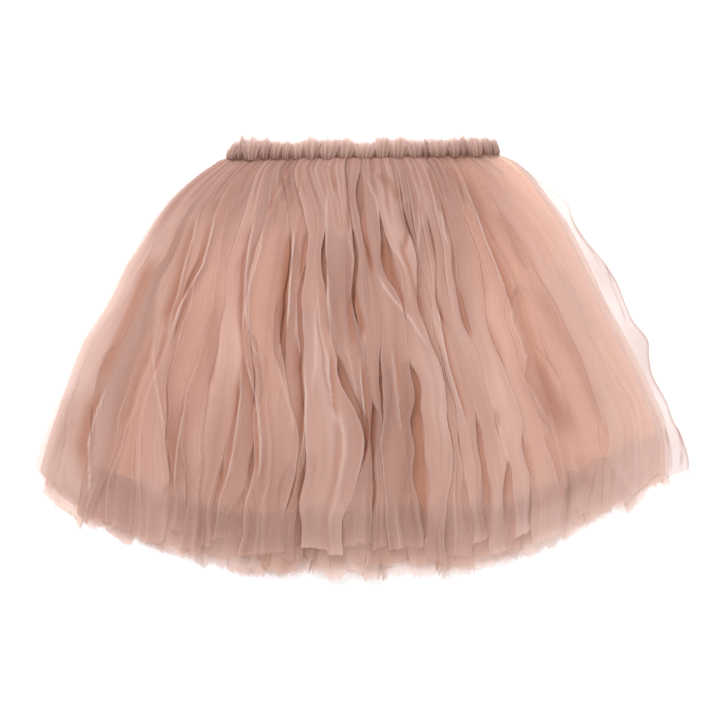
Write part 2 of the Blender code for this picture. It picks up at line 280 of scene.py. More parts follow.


# Troughs of painted shade between the broad soft folds, where the cloth also dips a little: which way the
# shade runs out (1 to the left, -1 to the right, 0 both), how far in mm, how strong it is, and its path in mm
# from the middle and below the seam.
softTroughs = (
    (1, 7.9, 0.75, ((-144, 43), (-149, 70), (-156, 93), (-162, 118), (-169, 140), (-174, 164))),
    (1, 7, 0.9, ((-128, 41), (-134, 70), (-141, 96), (-152, 115), (-162, 134), (-172, 166))),
    (0, 7.9, 0.9, ((-179, 74), (-193, 109), (-207, 143), (-220, 171), (-230, 197), (-237, 219))),
    (1, 16, 1.4, ((-223, 197), (-233, 219), (-239, 237), (-242, 254), (-242, 272), (-241, 294), (-241, 307))),
    (1, 5.3, 0.7, ((-93, 48), (-99, 74), (-103, 105), (-104, 136), (-106, 166))),
    (1, 5.3, 0.95, ((-105, 166), (-100, 190), (-93, 215), (-90, 241), (-90, 268), (-92, 296))),
    (1, 5.3, 0.85, ((-106, 184), (-107, 210), (-110, 234), (-113, 256), (-117, 276), (-125, 304))),
    (1, 4.4, 0.7, ((-154, 210), (-159, 232), (-163, 257), (-165, 280), (-166, 307))),
    (0, 4.4, 0.4, ((-128, 122), (-131, 153), (-132, 184), (-130, 215))),
    (-1, 5.3, 0.5, ((-179, 153), (-182, 175), (-179, 202), (-174, 228), (-170, 254), (-170, 276))),
    (-1, 7.9, 0.9, ((87, 6), (94, 30), (103, 52), (110, 74), (119, 96), (127, 118), (134, 140), (142, 162))),
    (-1, 14.1, 0.6, ((132, 131), (141, 158), (146, 175), (143, 195), (152, 208), (161, 225), (168, 250))),
    (0, 7.9, 0.45, ((151, 172), (160, 193), (169, 212), (176, 231), (183, 252))),
    (-1, 6.2, 0.9, ((67, 114), (69, 140), (73, 164), (78, 187), (85, 210), (92, 232), (98, 252))),
    (-1, 5.3, 0.6, ((66, 30), (72, 49), (74, 67), (78, 83))),
    (-1, 5.3, 0.6, ((158, 237), (162, 254), (169, 270), (174, 290), (176, 313))),
    (0, 7.9, 0.45, ((148, 100), (164, 131), (180, 159), (195, 187), (208, 216), (219, 250))),
    (0, 5.3, 0.35, ((175, 87), (185, 114), (196, 137), (210, 166))),
    (-1, 5.3, 0.45, ((186, 260), (192, 275), (199, 289), (205, 303))),
    (-1, 4.4, 0.35, ((214, 260), (224, 275), (235, 290), (242, 301))),
    (0, 5.3, 0.35, ((120, 43), (129, 65), (138, 83), (145, 102))),
    (1, 5.3, 0.8, ((-60, 61), (-62, 87), (-64, 114), (-65, 137), (-68, 162))),
    (1, 4.4, 1, ((-62, 58), (-61, 74), (-64, 100), (-66, 131), (-69, 158), (-75, 178))),
    (0, 2.2, 0.9, ((-47, 63), (-49, 78), (-51, 93), (-53, 113))),
    (1, 4.4, 0.6, ((-31, 96), (-31, 127), (-29, 149), (-26, 172))),
    (0, 2.6, 1, ((-1, 8), (0, 39), (2, 65), (6, 87), (12, 118))),
    (0, 2.6, 0.9, ((-8, 107), (-4, 131), (0, 146), (2, 166))),
    (0, 2.6, 0.8, ((-8, 118), (-10, 137), (-8, 158), (-5, 175))),
    (1, 5.3, 1, ((-58, 153), (-53, 181), (-50, 210), (-51, 241), (-54, 268))),
    (-1, 4.4, 0.8, ((-28, 166), (-27, 193), (-24, 219), (-21, 241))),
    (-1, 5.3, 0.9, ((0, 171), (1, 197), (4, 224), (4, 250), (0, 285))),
    (-1, 4.4, 0.8, ((28, 166), (31, 197), (34, 224), (37, 250))),
    (0, 2.2, 0.9, ((57, 4), (63, 21), (69, 43), (73, 58))),
    (0, 5.3, 0.8, ((11, 12), (23, 23), (32, 33), (37, 44))),
    (0, 1.4, 1, ((-38, 4), (-27, 11), (-24, 25), (-22, 35))),
    (0, 1.9, 0.9, ((-64, 1), (-67, 18), (-77, 35), (-83, 58))),
    (0, 1.9, 0.6, ((-88, 2), (-98, 19), (-109, 42))),
    (0, 1.8, 0.6, ((-53, 1), (-54, 21), (-58, 44))),
    (0, 2.1, 0.7, ((-13, 8), (-11, 39), (-10, 74))),
    (0, 1.8, 0.5, ((-24, 32), (-22, 52), (-17, 74))),
    (0, 2.3, 0.7, ((37, 43), (41, 67), (37, 88))),
    (0, 2.1, 0.7, ((32, 70), (38, 90), (45, 111), (51, 131), (53, 151))),
    (0, 2.1, 0.6, ((44, 2), (48, 21), (50, 39), (54, 63))),
    (0, 2.1, 0.6, ((19, 70), (22, 93), (25, 116))),
    (0, 1.9, 0.6, ((14, 1), (19, 14), (22, 30))),
    (0, 1.9, 0.5, ((74, 2), (83, 19), (92, 39))),
    (0, 1.9, 0.5, ((-100, 1), (-114, 18), (-125, 39))),
    (0, 0.9, 0.7, ((262, 240), (265, 255), (264, 286))),
    (0, 0.9, 0.8, ((268, 236), (273, 256), (275, 282))),
    (0, 0.8, 0.6, ((279, 232), (284, 254), (283, 279))),
    (0, 0.8, 0.5, ((214, 86), (222, 112), (230, 132), (236, 150))),
    (0, 0.8, 0.5, ((184, 48), (192, 66), (204, 82), (214, 100))),
)

# Ridges, where a fold's own edge stands up, shown by a painted highlight and a slight lift of the cloth: how
# wide in mm, how strong, and the path.
fineRidges = (
    (1.4, 1, ((13, 102), (20, 116), (29, 128), (41, 141), (51, 157), (60, 172))),
    (1.1, 0.7, ((2, 14), (13, 39), (17, 62), (21, 87))),
    (1.1, 0.7, ((-29, 17), (-31, 52), (-31, 92), (-29, 127), (-23, 158))),
    (1.1, 0.7, ((-13, 63), (-7, 90), (-8, 111), (-11, 132))),
    (1.2, 0.8, ((-84, 49), (-89, 83), (-98, 114), (-101, 137), (-97, 164), (-88, 180), (-75, 199))),
    (1.1, 0.6, ((-54, 109), (-56, 136), (-58, 164))),
    (1.1, 0.7, ((15, 58), (25, 79), (36, 93), (46, 113), (51, 127))),
    (1.1, 0.6, ((-37, 109), (-40, 144), (-40, 180), (-44, 215))),
    (1.1, 0.6, ((44, 11), (50, 34), (51, 61), (48, 93))),
    (1.1, 0.6, ((-17, 160), (-10, 180), (-5, 206), (-3, 232))),
    (1.2, 0.7, ((-75, 178), (-68, 202), (-61, 224), (-58, 250))),
)

troughForm = {
    "pathIn": 0.22,  # share of a path over which it grows from nothing
    "pathOut": 0.25,  # and over which it runs out
    "crispSide": 0.5,  # mm in which the painted shade stops at a trough's crisp side
    "lineAside": 1.3,  # mm from the trough to the painted highlight on that side
    "lineWide": 1.0,  # mm
    "ridgeLine": 0.7,  # how bright a ridge's painted highlight is against a trough's
}


def alongPath(x, below, path):
    # how far aside of a path each place lies, in mm, and how much of the path's strength it has
    stations = np.array([place[1] for place in path]) * mm
    middle = np.interp(below, stations, np.array([place[0] for place in path]) * mm)
    along = (below - stations[0]) / (stations[-1] - stations[0])
    shown = smoothStep(along / troughForm["pathIn"]) * smoothStep((1 - along) / troughForm["pathOut"])
    return (x - middle) / mm, shown


def troughsAt(x, below):
    # how deep in a trough each place lies, which shows as painted shade, and how strong the painted highlight
    # along a crisp fold edge is, at places in metres from the middle and below the seam
    paintedShade, crisp = np.zeros_like(x), np.zeros_like(x)
    for way, width, strength, path in softTroughs:
        aside, shown = alongPath(x, below, path)
        shown = strength * shown
        if way == 0:
            paintedShade += shown * bump(aside, width)
            continue
        past = aside * way
        softSide = np.exp(np.minimum(past, 0) / width)
        crispSide = np.exp(-np.maximum(past, 0) / troughForm["crispSide"])
        paintedShade += shown * np.where(past < 0, softSide, crispSide)
        crisp += shown * bump(past - troughForm["lineAside"], troughForm["lineWide"])
    for width, strength, path in fineRidges:
        aside, shown = alongPath(x, below, path)
        crisp += troughForm["ridgeLine"] * strength * shown * bump(aside, width)
    return np.clip(paintedShade, 0, 1), np.clip(crisp, 0, 1)


def tableFolds(down):
    # valleys as shares of the layer's half width, gaps in metres, by fold and row
    stations = np.asarray(foldStations)
    valleys = np.array([row.valley for row in topFolds]) * mm / halfWidth(stations)
    valleys[0], valleys[-1] = -1, 1
    gaps = np.array([row.gap for row in topFolds], float) * mm
    return {
        "valley": smoothTable(stations, valleys, down),
        "gap": smoothTable(gapStations, gaps, down),
        "lap": np.array([row.lap for row in topFolds]),
        "height": np.array([row.height for row in topFolds[:-1]]),
        "drop": np.array([row.hemDrop for row in topFolds[:-1]]) * mm,
    }


def chanceFolds(layer, down):
    count, seed = layer["folds"], layer["seed"]
    chance = np.random.RandomState(seed)
    even = chanceBorders(1 + layer["foldSpread"] * chance.uniform(-1, 1, count))
    sway = slowNoise(seed + 1, count + 1, down, waves=(0.8, 1.7, 3.1)) * layer["foldSway"] / count
    sway[0] = sway[-1] = 0
    opening = slowNoise(seed + 2, count + 1, down, waves=(0.7, 1.5, 2.6))
    return {
        "valley": even[:, None] + sway * smoothStep(down / layer["swayFrom"]),
        "gap": layer["gap"] * np.clip(0.6 + 1.3 * opening, 0.1, 3),
        "lap": chance.uniform(*layer["laps"], count + 1),
        "height": chance.uniform(*layer["foldHeights"], count),
        "drop": chance.uniform(-1, 1, count) * layer["hemUneven"],
    }


# A fold's side, from the floor of its valley, tucked under the fold, up to its rim: each point's part and how
# far along that part it is.
sideSteps = (("floor", 0.0), ("floor", 0.5), ("tuck", 0.0), ("under", 0.35), ("under", 0.7), ("rim", 0.0))
plainSteps = {"floor": 0.0, "tuck": 0.3, "under": 0.45, "rim": 1.0}  # at a layer's own unfolded side edges
foldEdge = namedtuple("foldEdge", "valley rim rimHigh tuck way apart line")

sideForm = {
    "shutHigh": {"floor": 0.88, "tuck": 0.9, "under": 0.93},  # heights in a shut valley, against the rim's
    "shade": {"floor": 0.95, "tuck": 0.75, "under": 0.55},  # painted shade of each part in an open valley
    "floorRise": 0.04,  # how far an open valley's floor rises, against the rim
    "tuckHigh": 0.16,  # heights in an open valley, against the fold's top
    "underHigh": 0.2,
    "underLess": 0.26,
    "underPales": 0.45,  # how much painted shade the cloth under a fold loses towards its rim
    "plainStep": 0.3,
}

foldForm = {
    "tucks": (0.4, 1.3),  # least and most, against the layer's own
    "plainEdge": 0.12,  # share of the outermost folds' width that is unfolded edge
    "narrowest": 0.35,  # share of a fold's width that its top keeps
    "softIn": 0.2,  # how much closer a soft fold's rims lie
    "shutGap": 0.8 * mm,  # a valley is shut up to this gap
    "openGap": 4.5 * mm,  # and fully open this much past it
    "softApart": 0.5,  # how much shallower the valleys beside a soft fold are
    "softTuck": 0.8,  # how much less of a soft fold is tucked under
    "softLine": 0.8,  # how much its painted highlight at the edge loses
    "softShade": 0.4,  # and its painted shade
    "seamTuck": 0.06,  # share of a fold's width tucked under at the seam, where all are shut
    "lapLift": 0.2,  # how much higher the rim of the fold that laps over the other lies
    "shutDrop": 0.35,  # how far a rim drops from the top in a shut valley, against an open one
    "crown": 2.2,  # how squarely the top rounds over; 2 is a plain arch
    "lineShare": 0.9,
    "lineWide": 0.022,  # the painted highlight inside each rim, as a share of the fold's width
    "lineMiddle": 0.55,  # how bright the painted highlight is between folds that don't lap
    "lineLap": 1.1,  # how much brighter it is on the fold that laps over
    "lineSwing": 0.8,  # how much it comes and goes down the fold
    # painted shade beside each rim: how dark, and how far in it runs as a share of the fold's width
    "rimShade": 0.22,
    "rimShadeWide": 0.10,
    "mainTone": 0.35,  # how dusky a middling fold is
    "leanShade": 0.9,  # painted shade: how much darker one side of a fold's top is than the other
    "toneSwing": 0.5,  # how much a fold's tone comes and goes down its length
}

pleatForm = {  # where a fold is pleated again within itself, in shares of its width
    "places": (0.34, 0.66),
    "wander": 0.16,
    "swing": 0.6,  # how much a pleat comes and goes
    "upper": 0.5,  # how much more of them there are under the waist
    "soft": 0.6,  # and how much fainter they are on a soft fold
    "step": 0.05,  # width of the step down behind a pleat's edge
    "runsOut": 0.16,  # and how far behind it the cloth is level again
    "line": 0.6,  # how bright the painted highlight at its edge is
    "upperLine": 0.7,  # and how much of it is lost under the waist
    "lineAside": 0.03,
    "lineWide": 0.035,
    # painted shade behind a pleat: how dark, how far behind its edge, and how wide
    "shade": 0.6,
    "shadeAside": 0.06,
    "shadeWide": 0.05,
}

openForm = {  # how far valleys open, and folds reach over them, as they wander: middling, swing and most
    "gap": (0.6, 1.6, 2.2),
    "reach": (0.6, 0.9, 1.6),
    "sideReach": 0.7,  # how much less they reach over at the sides
}


def foldSection(topSteps):
    # one fold's section, left to right: each point's side (0 left, 1 right), part, and how far along it is
    even = [(step + 1) / (topSteps + 1) for step in range(topSteps)]
    top = [(0, "top", 0.5 * t + 0.5 * (0.5 - 0.5 * math.cos(math.pi * t))) for t in even]
    left = [(0, part, t) for part, t in sideSteps]
    return left + top + [(1, part, t) for part, t in reversed(sideSteps[1:])]


def foldChances(layer, count, down):
    # what is left to chance in a layer's folds; the last ones change slowly down the cloth
    seed = layer["seed"]
    chance = np.random.RandomState(seed + 10)
    return {
        "tuck": layer["tuck"] * chance.uniform(*foldForm["tucks"], (count, 2)),
        "pleat": chance.uniform(0, 1, (count, 2)),
        "pleatWay": np.where(chance.uniform(0, 1, (count, 2)) < 0.5, -1, 1),
        "tone": chance.uniform(0, 1, count),
        "lean": chance.uniform(-1, 1, count),
        "wander": slowNoise(seed + 11, count + 1, down, waves=(1.7, 3.3, 5.9), strengths=(1, 0.7, 0.45)),
        "opening": slowNoise(seed + 12, count + 1, down, waves=(1.9, 3.7, 6.1)),
        "crinkle": slowNoise(seed + 13, 2 * count + 2, down, waves=(9, 15, 26)),
        "swell": slowNoise(seed + 14, count + 2, down, waves=(1.3, 2.9, 5.1)),
        "twist": slowNoise(seed + 15, count + 1, down, waves=(1.2, 2.5, 4.4)),
        "pleatPlace": slowNoise(seed + 16, 2 * count, down, waves=(0.5, 1.2, 2.5)),
        "pleatFade": slowNoise(seed + 17, 2 * count, down, waves=(0.7, 1.5, 2.7)),
        "lineFade": slowNoise(seed + 18, 2 * count, down, waves=(1.1, 2.3, 3.9)),
    }


def swinging(chances, middling, swing, most):
    return np.clip(middling + swing * chances, 0, most)


def valleyLines(layer, folds, chances, down):
    # where the valleys between a layer's folds run, how far each is open, and how tall its folds are
    free, full = comesIn("foldsFree", down), comesIn("foldsFull", down)
    half = halfWidth(down) * layer["share"]
    valleys = folds["valley"] * half + layer["wander"] * chances["wander"] * free
    valleys[0], valleys[-1] = -half, half
    tall = np.concatenate([[folds["height"][0]], folds["height"], [folds["height"][-1]]])[:, None]
    tall = tall * (1 + layer["swell"] * chances["swell"] * free)
    opening = chances["opening"]
    halfGap = folds["gap"] * swinging(opening, *openForm["gap"]) / 2 * full
    reach = layer["lapReach"] * swinging(opening, *openForm["reach"]) * full
    sideways = comesIn("softSides", np.abs(folds["valley"])) * layer["sideSoft"]
    wideOpen = smoothStep((2 * halfGap - foldForm["shutGap"]) / foldForm["openGap"])
    return {
        "down": down,
        "half": half,
        "free": free,
        "full": full,
        "valley": valleys,
        "tall": tall,
        "rimTall": (tall[:-1] + tall[1:]) / 2,
        "rimShare": layer["rimHeight"] + layer["twist"] * chances["twist"] * free,
        "halfGap": halfGap,
        "reach": reach * (1 - openForm["sideReach"] * sideways),
        "open": layer["closedDepth"] + (1 - layer["closedDepth"]) * wideOpen,
    }


def foldEdges(layer, folds, chances, lines, k):
    # the left and right edge of fold k, its height, its width, and how softly it is folded
    last = len(folds["height"]) - 1
    left, right = lines["valley"][k], lines["valley"][k + 1]
    wide = right - left
    soft = layer["sideSoft"] * comesIn("softSides", np.abs(left + right) / 2 / lines["half"])
    rims = []
    for side, way in ((0, 1), (1, -1)):
        n = k + side
        rim = lines["valley"][n] + way * lines["halfGap"][n]
        rim = rim - way * np.maximum(0, way * folds["lap"][n]) * lines["reach"][n]
        rim = rim + layer["crinkle"] * chances["crinkle"][2 * k + side] * lines["free"]
        if n == 0 or n == last + 1:
            rim = lines["valley"][n] + way * foldForm["plainEdge"] * wide
        if 0 < k < last:
            rim = rim + way * foldForm["softIn"] * soft * wide
        rims.append(rim)
    narrow = np.maximum(0, foldForm["narrowest"] * wide - (rims[1] - rims[0])) / 2
    top = lines["tall"][k + 1]
    edges = []
    for side, way in ((0, 1), (1, -1)):
        n = k + side
        lap = folds["lap"][n]
        apart = lines["open"][n] * (1 - foldForm["softApart"] * soft)
        ownHigh = (lines["rimShare"][n] + way * foldForm["lapLift"] * lap) * lines["rimTall"][n]
        rimHigh = top - (top - ownHigh) * (foldForm["shutDrop"] + (1 - foldForm["shutDrop"]) * apart)
        # the painted highlight along the rim, brighter on the fold that laps over
        bright = foldForm["lineMiddle"] + way * foldForm["lineLap"] * lap
        bright = bright + foldForm["lineSwing"] * chances["lineFade"][2 * k + side]
        line = layer["rimHighlight"] * np.clip(bright, 0, 1)
        rim = rims[side] - way * narrow
        tuck = chances["tuck"][k, side] * apart
        edges.append(foldEdge(lines["valley"][n], rim, rimHigh, tuck, way, apart, line))
    return edges, top, wide, soft


def sidePoint(part, t, edge, tuck, top):
    # place across, height, painted highlight and painted shade of a point on a fold's side, between a shut
    # and an open valley
    if part == "rim":
        return edge.rim, edge.rimHigh, edge.line, 0
    shut = sideForm["shutHigh"][part] * edge.rimHigh
    shade = sideForm["shade"][part]
    if part == "floor":
        place = edge.valley + t * (tuck - edge.valley)
        wideOpen = sideForm["floorRise"] * t * edge.rimHigh
    elif part == "tuck":
        place = tuck
        wideOpen = sideForm["tuckHigh"] * top
    else:
        place = tuck + (edge.rim - tuck) * t
        wideOpen = sideForm["underHigh"] * top + (edge.rimHigh - sideForm["underLess"] * top) * t
        shade = shade - sideForm["underPales"] * t
    return place, shut + (wideOpen - shut) * edge.apart, 0, shade * edge.apart


def topPoint(layer, t, edges, top, soft, chances, lines, k):
    # the same for a point on a fold's top, with the pleats within it: painted highlights inside its rims and
    # at the pleats' edges, painted shade beside its rims, on one side of a soft fold and behind the pleats
    left, right = edges
    crown = 1 - np.abs(2 * t - 1) ** foldForm["crown"]
    base = left.rimHigh + (right.rimHigh - left.rimHigh) * t
    height = base + (np.maximum(top, base) - base) * crown
    nearest = left.line if t < 0.5 else right.line
    edge = foldForm["lineShare"] * nearest * math.exp(-min(t, 1 - t) / foldForm["lineWide"])
    fromLeft, fromRight = (math.exp(-aside / foldForm["rimShadeWide"]) for aside in (t, 1 - t))
    paintedShade = foldForm["rimShade"] * (left.apart * fromLeft + right.apart * fromRight)
    slope = t if chances["lean"][k] > 0 else 1 - t
    paintedShade = paintedShade + layer["sideShade"] * soft * chances["tone"][k] * slope**1.5
    if layer["pleats"]:
        upper = goesOut("upperFolds", lines["down"])
        for n, middle in enumerate(pleatForm["places"]):
            place = middle + pleatForm["wander"] * chances["pleatPlace"][2 * k + n]
            past = (t - place) * chances["pleatWay"][k, n]
            strength = chances["pleat"][k, n] * 2 - 1.0 + pleatForm["swing"] * chances["pleatFade"][2 * k + n]
            strength = np.clip(strength + pleatForm["upper"] * upper, 0, 1) * layer["pleats"]
            strength = strength * lines["full"] * crown * (1 - pleatForm["soft"] * soft)
            behind = smoothStep(past / pleatForm["step"] + 0.5)
            behind = behind * np.exp(-np.clip(past, 0, 1) / pleatForm["runsOut"])
            height = height - layer["crease"] * (1 + upper) * strength * behind
            pleatHighlight = pleatForm["line"] * (1 - pleatForm["upperLine"] * upper) * strength
            edge = edge + pleatHighlight * bump(past + pleatForm["lineAside"], pleatForm["lineWide"])
            shade = pleatForm["shade"] * strength
            paintedShade = paintedShade + shade * bump(past - pleatForm["shadeAside"], pleatForm["shadeWide"])
    return left.rim + (right.rim - left.rim) * t, height, edge, paintedShade


def foldedSheet(layer, folds, down):
    # across, height, painted highlight, painted shade, and darker tone with painted shade of one gathered
    # layer: rows down the cloth, columns across it
    count = len(folds["height"])
    chances = foldChances(layer, count, down)
    lines = valleyLines(layer, folds, chances, down)
    columns = []
    for k in range(count):
        edges, top, wide, soft = foldEdges(layer, folds, chances, lines, k)
        for side, part, t in foldSection(layer["topSteps"]):
            edge = edges[side]
            tucked = edge.tuck * lines["full"] * (1 - foldForm["softTuck"] * soft)
            tucked = tucked + foldForm["seamTuck"] * (1 - lines["full"])
            if part == "top":
                x, high, pale, paintedShade = topPoint(layer, t, edges, top, soft, chances, lines, k)
            elif k + side in (0, count):
                step = plainSteps[part] + sideForm["plainStep"] * t
                x, high, pale, paintedShade = edge.valley + (edge.rim - edge.valley) * step, edge.rimHigh * step, 0, 0
            else:
                x, high, pale, paintedShade = sidePoint(part, t, edge, edge.valley + edge.way * wide * tucked, top)
            # painted shade: one side of a fold's top darker than the other
            lean = foldForm["leanShade"] * chances["lean"][k] * (t - 0.5) * (part == "top")
            swing = foldForm["toneSwing"] * chances["lineFade"][2 * k]
            tone = layer["tones"] * (chances["tone"][k] - 0.5 + swing + lean)
            toneAndShade = np.clip(foldForm["mainTone"] + tone, 0, 1)
            pale, paintedShade = pale * (1 - foldForm["softLine"] * soft), paintedShade * (1 - foldForm["softShade"] * soft)
            columns.append((x / lines["half"], high, pale, paintedShade, toneAndShade))
    columns.append((1, 0, 0, 1, 0))  # the last point, at the right edge
    parts = ([np.broadcast_to(column[n], down.shape) for column in columns] for n in range(5))
    across, height, edge, paintedShade, toneAndShade = (np.array(part).T for part in parts)
    toneAndShade = toneAndShade + (layer["seamDusk"] - toneAndShade) * goesOut("duskUnderSeam", down[:, None])
    return across, *gatherAtSeam(layer, across, height, edge, paintedShade, toneAndShade, down)


mostDusk = 1.25  # past 1, so that what pales the cloth later still leaves it dusky
rowCrowding = 1.1  # above 1, rows lie closer together towards the seam

gatherForm = {
    "countedAt": 0.05,  # share of the way down where the gathers are set out
    "widths": (0.55, 1.6),
    "lengths": (0.15, 2.4),  # shortest and longest, against the layer's own
    "depths": (0.35, 1.0),
    "groove": 0.55,  # how much of a gather's depth is a narrow groove; the rest is a wave
    "grooveWide": 0.16,  # as a share of the gather
    # painted shade down each gather's groove, strongest near the seam
    "grooveDusk": 0.3,
    "grooveDuskDown": 0.035,
    "thin": 0.13,  # width of the painted shade line in a gather's groove
    "thinDusk": 1.1,
    "thinDeep": 0.45,
    "line": 0.2,  # how bright the painted highlight beside a gather is
    "lineAside": 0.3,
    "lineWide": 0.1,
    # painted shade just under the seam
    "shade": 0.1,
    "pit": 0.025,  # how far down the painted shade under the frill's pinches reaches
    "pitPower": 8,  # how narrow they are
    # painted shade along the seam, where the layers pinch together
    "seamLine": 0.45,
    "seamLineWide": 0.006,
}


def gatherAtSeam(layer, across, height, edge, paintedShade, toneAndShade, down):
    # uneven little gathers under the seam, each running out at its own length, with painted shade down their
    # grooves, along the seam and under the frill's pinches, and a painted highlight beside each
    chance = np.random.RandomState(layer["seed"] + 20)
    count = layer["gathers"]
    borders = chanceBorders(chance.uniform(*gatherForm["widths"], count))
    start = across[np.searchsorted(down, gatherForm["countedAt"])]
    turn = np.interp(start, borders, np.arange(count + 1))[None] + np.zeros_like(across)
    border = np.clip(np.round(turn).astype(int), 0, count)
    runOut = layer["gathersEnd"] * chance.uniform(*gatherForm["lengths"], count + 1)[border]
    depth = chance.uniform(*gatherForm["depths"], count + 1)[border]
    aside = np.abs(turn - border)
    wave = 0.5 + 0.5 * np.cos(math.tau * turn)
    groove = gatherForm["groove"] * bump(aside, gatherForm["grooveWide"]) + (1 - gatherForm["groove"]) * wave
    down = down[:, None]
    size = (1 - smoothStep(down / runOut)) * depth
    thin = bump(aside, gatherForm["thin"])
    pit = np.abs(seamClump(across)[1]) ** gatherForm["pitPower"] * np.exp(-down / gatherForm["pit"])
    height = height - layer["gatherDepth"] * size * groove
    line = gatherForm["line"] * size * bump(aside - gatherForm["lineAside"], gatherForm["lineWide"])
    edge = edge * comesIn("gathersGone", down) + line
    duskHere = gatherForm["grooveDusk"] * groove * np.exp(-down / gatherForm["grooveDuskDown"])
    toneAndShade = toneAndShade + size * (gatherForm["thinDusk"] * thin + duskHere)
    paintedShade = paintedShade * comesIn("gathersGone", down) + gatherForm["shade"] * goesOut("seamShade", down)
    paintedShade = paintedShade + size * gatherForm["thinDeep"] * thin + pit
    paintedShade = paintedShade + gatherForm["seamLine"] * np.exp(-down / gatherForm["seamLineWide"])
    return np.clip(height, 0, 1.12), np.clip(edge, 0, 1), np.clip(paintedShade, 0, 1), np.clip(toneAndShade, 0, mostDusk)


def layPanel(layer, across, height, drop):
    # the panel's points in the world, each column cut to its own length
    rowShare = np.linspace(0, 1, across.shape[0])[:, None] ** rowCrowding
    hem = layer["hem"] + (layer["hemSide"] - layer["hem"]) * across[-1] ** 2 + drop / lie["longest"]
    down = rowShare * hem[None]
    droop = 1 - lie["hemDroop"] * comesIn("hemDroop", rowShare)
    wide = across * np.where(across < 0, layer.get("leftShare", layer["share"]), layer["share"])
    points = np.zeros(across.shape + (3,))
    points[:, :, 0] = wide * halfWidth(down) + sideShift(wide, down) + puffOut(wide, down)
    points[:, :, 1] = lie["seamY"] - down * hangLength(wide) + seamLift(wide) * (1 - down) ** 6
    points[:, :, 1] -= seamDip(wide) * np.exp(-down / lie["dipRunsOut"])
    low, high = layer["band"]
    points[:, :, 2] = pileHeight(wide, down) * (low + (high - low) * height) * droop
    points[:, :, 2] += (layer["seamHeight"] - points[:, :, 2]) * comesIn("sideClosing", np.abs(across))
    return points, wide, down


def gridFaces(rows, columns, start=0, rowsGoDown=True):
    # faces between neighbouring points of a grid, all facing up
    index = np.arange(rows * columns).reshape(rows, columns) + start
    near, far = (index[1:], index[:-1]) if rowsGoDown else (index[:-1], index[1:])
    return np.stack([near[:, :-1], near[:, 1:], far[:, 1:], far[:, :-1]], axis=-1).reshape(-1, 4)


def clothPiece(name, points, faces, uv, values, material):
    mesh = bpy.data.meshes.new(name)
    mesh.from_pydata(points.reshape(-1, 3).tolist(), [], faces.tolist())
    clothMap = mesh.uv_layers.new(name="cloth")
    clothMap.data.foreach_set("uv", uv.reshape(-1, 2)[faces.reshape(-1)].astype(np.float32).reshape(-1))
    for label, numbers in values.items():
        attribute = mesh.attributes.new(label, "FLOAT", "POINT")
        attribute.data.foreach_set("value", np.asarray(numbers, np.float32).reshape(-1))
    mesh.shade_smooth()
    mesh.materials.append(material)
    piece = bpy.data.objects.new(name, mesh)
    bpy.context.scene.collection.objects.link(piece)
    return piece


def surfaceTilt(points):
    # how upright the cloth stands at each point, as seen from straight above: 1 is flat, 0 is edge on
    normal = np.cross(np.gradient(points, axis=1), np.gradient(points, axis=0))
    size = np.linalg.norm(normal, axis=-1)
    return np.abs(normal[..., 2]) / np.maximum(size, 1e-12)


def coverSeen(single, points, steepest):
    # how much a net hides that hides single where it lies flat: more where it is seen aslant
    return 1 - (1 - single) ** (1 / np.maximum(surfaceTilt(points), steepest))


def clothUv(points):
    # metres along and down the cloth, for the net, and metres up from its hem
    stepAcross = np.linalg.norm(np.diff(points, axis=1), axis=-1)
    stepDown = np.linalg.norm(np.diff(points, axis=0), axis=-1)
    uv = np.zeros(points.shape[:2] + (2,))
    uv[..., 0] = np.concatenate([[0], np.cumsum(stepAcross[points.shape[0] // 2])])
    uv[1:, :, 1] = np.cumsum(stepDown, axis=0)
    return uv, uv[-1, :, 1] - uv[..., 1]


print("materials")


def newMaterial(name):
    material = bpy.data.materials.new(name)
    material.use_nodes = True
    nodes = material.node_tree.nodes
    nodes.clear()
    return material, nodes, material.node_tree.links


def mathNode(nodes, links, operation, *values, clamp=False):
    node = nodes.new("ShaderNodeMath")
    node.operation = operation
    node.use_clamp = clamp
    for socket, value in zip(node.inputs, values):
        if isinstance(value, (int, float)):
            socket.default_value = value
        else:
            links.new(value, socket)
    return node.outputs[0]


def mixNode(nodes, links, factor, first, second):
    node = nodes.new("ShaderNodeMix")
    node.data_type = "RGBA"
    links.new(factor, node.inputs["Factor"])
    for label, value in (("A", first), ("B", second)):
        if isinstance(value, tuple):
            node.inputs[label].default_value = (*value, 1)
        else:
            links.new(value, node.inputs[label])
    return node.outputs["Result"]


def clothNoise(nodes, links, uvMap, perMetreAcross, perMetreDown, detail):
    stretch = nodes.new("ShaderNodeMapping")
    stretch.inputs["Scale"].default_value = (perMetreAcross, perMetreDown, 1)
    links.new(uvMap, stretch.inputs["Vector"])
    noise = nodes.new("ShaderNodeTexNoise")
    noise.noise_dimensions = "2D"
    noise.inputs["Scale"].default_value = 1
    noise.inputs["Detail"].default_value = detail
    links.new(stretch.outputs[0], noise.inputs["Vector"])
    return noise.outputs["Fac"]


def attributeNode(nodes, name):
    node = nodes.new("ShaderNodeAttribute")
    node.attribute_name = name
    return node.outputs["Fac"]


def uvNode(nodes):
    node = nodes.new("ShaderNodeUVMap")
    node.uv_map = "cloth"
    return node.outputs[0]


def threadNode(nodes, links, vector, direction, size):
    wave = nodes.new("ShaderNodeTexWave")
    wave.bands_direction = direction
    bandsPerMetre = 20 / math.tau  # the node's own, at scale 1
    wave.inputs["Scale"].default_value = 1 / size / bandsPerMetre
    links.new(vector, wave.inputs["Vector"])
    return wave.outputs["Fac"]


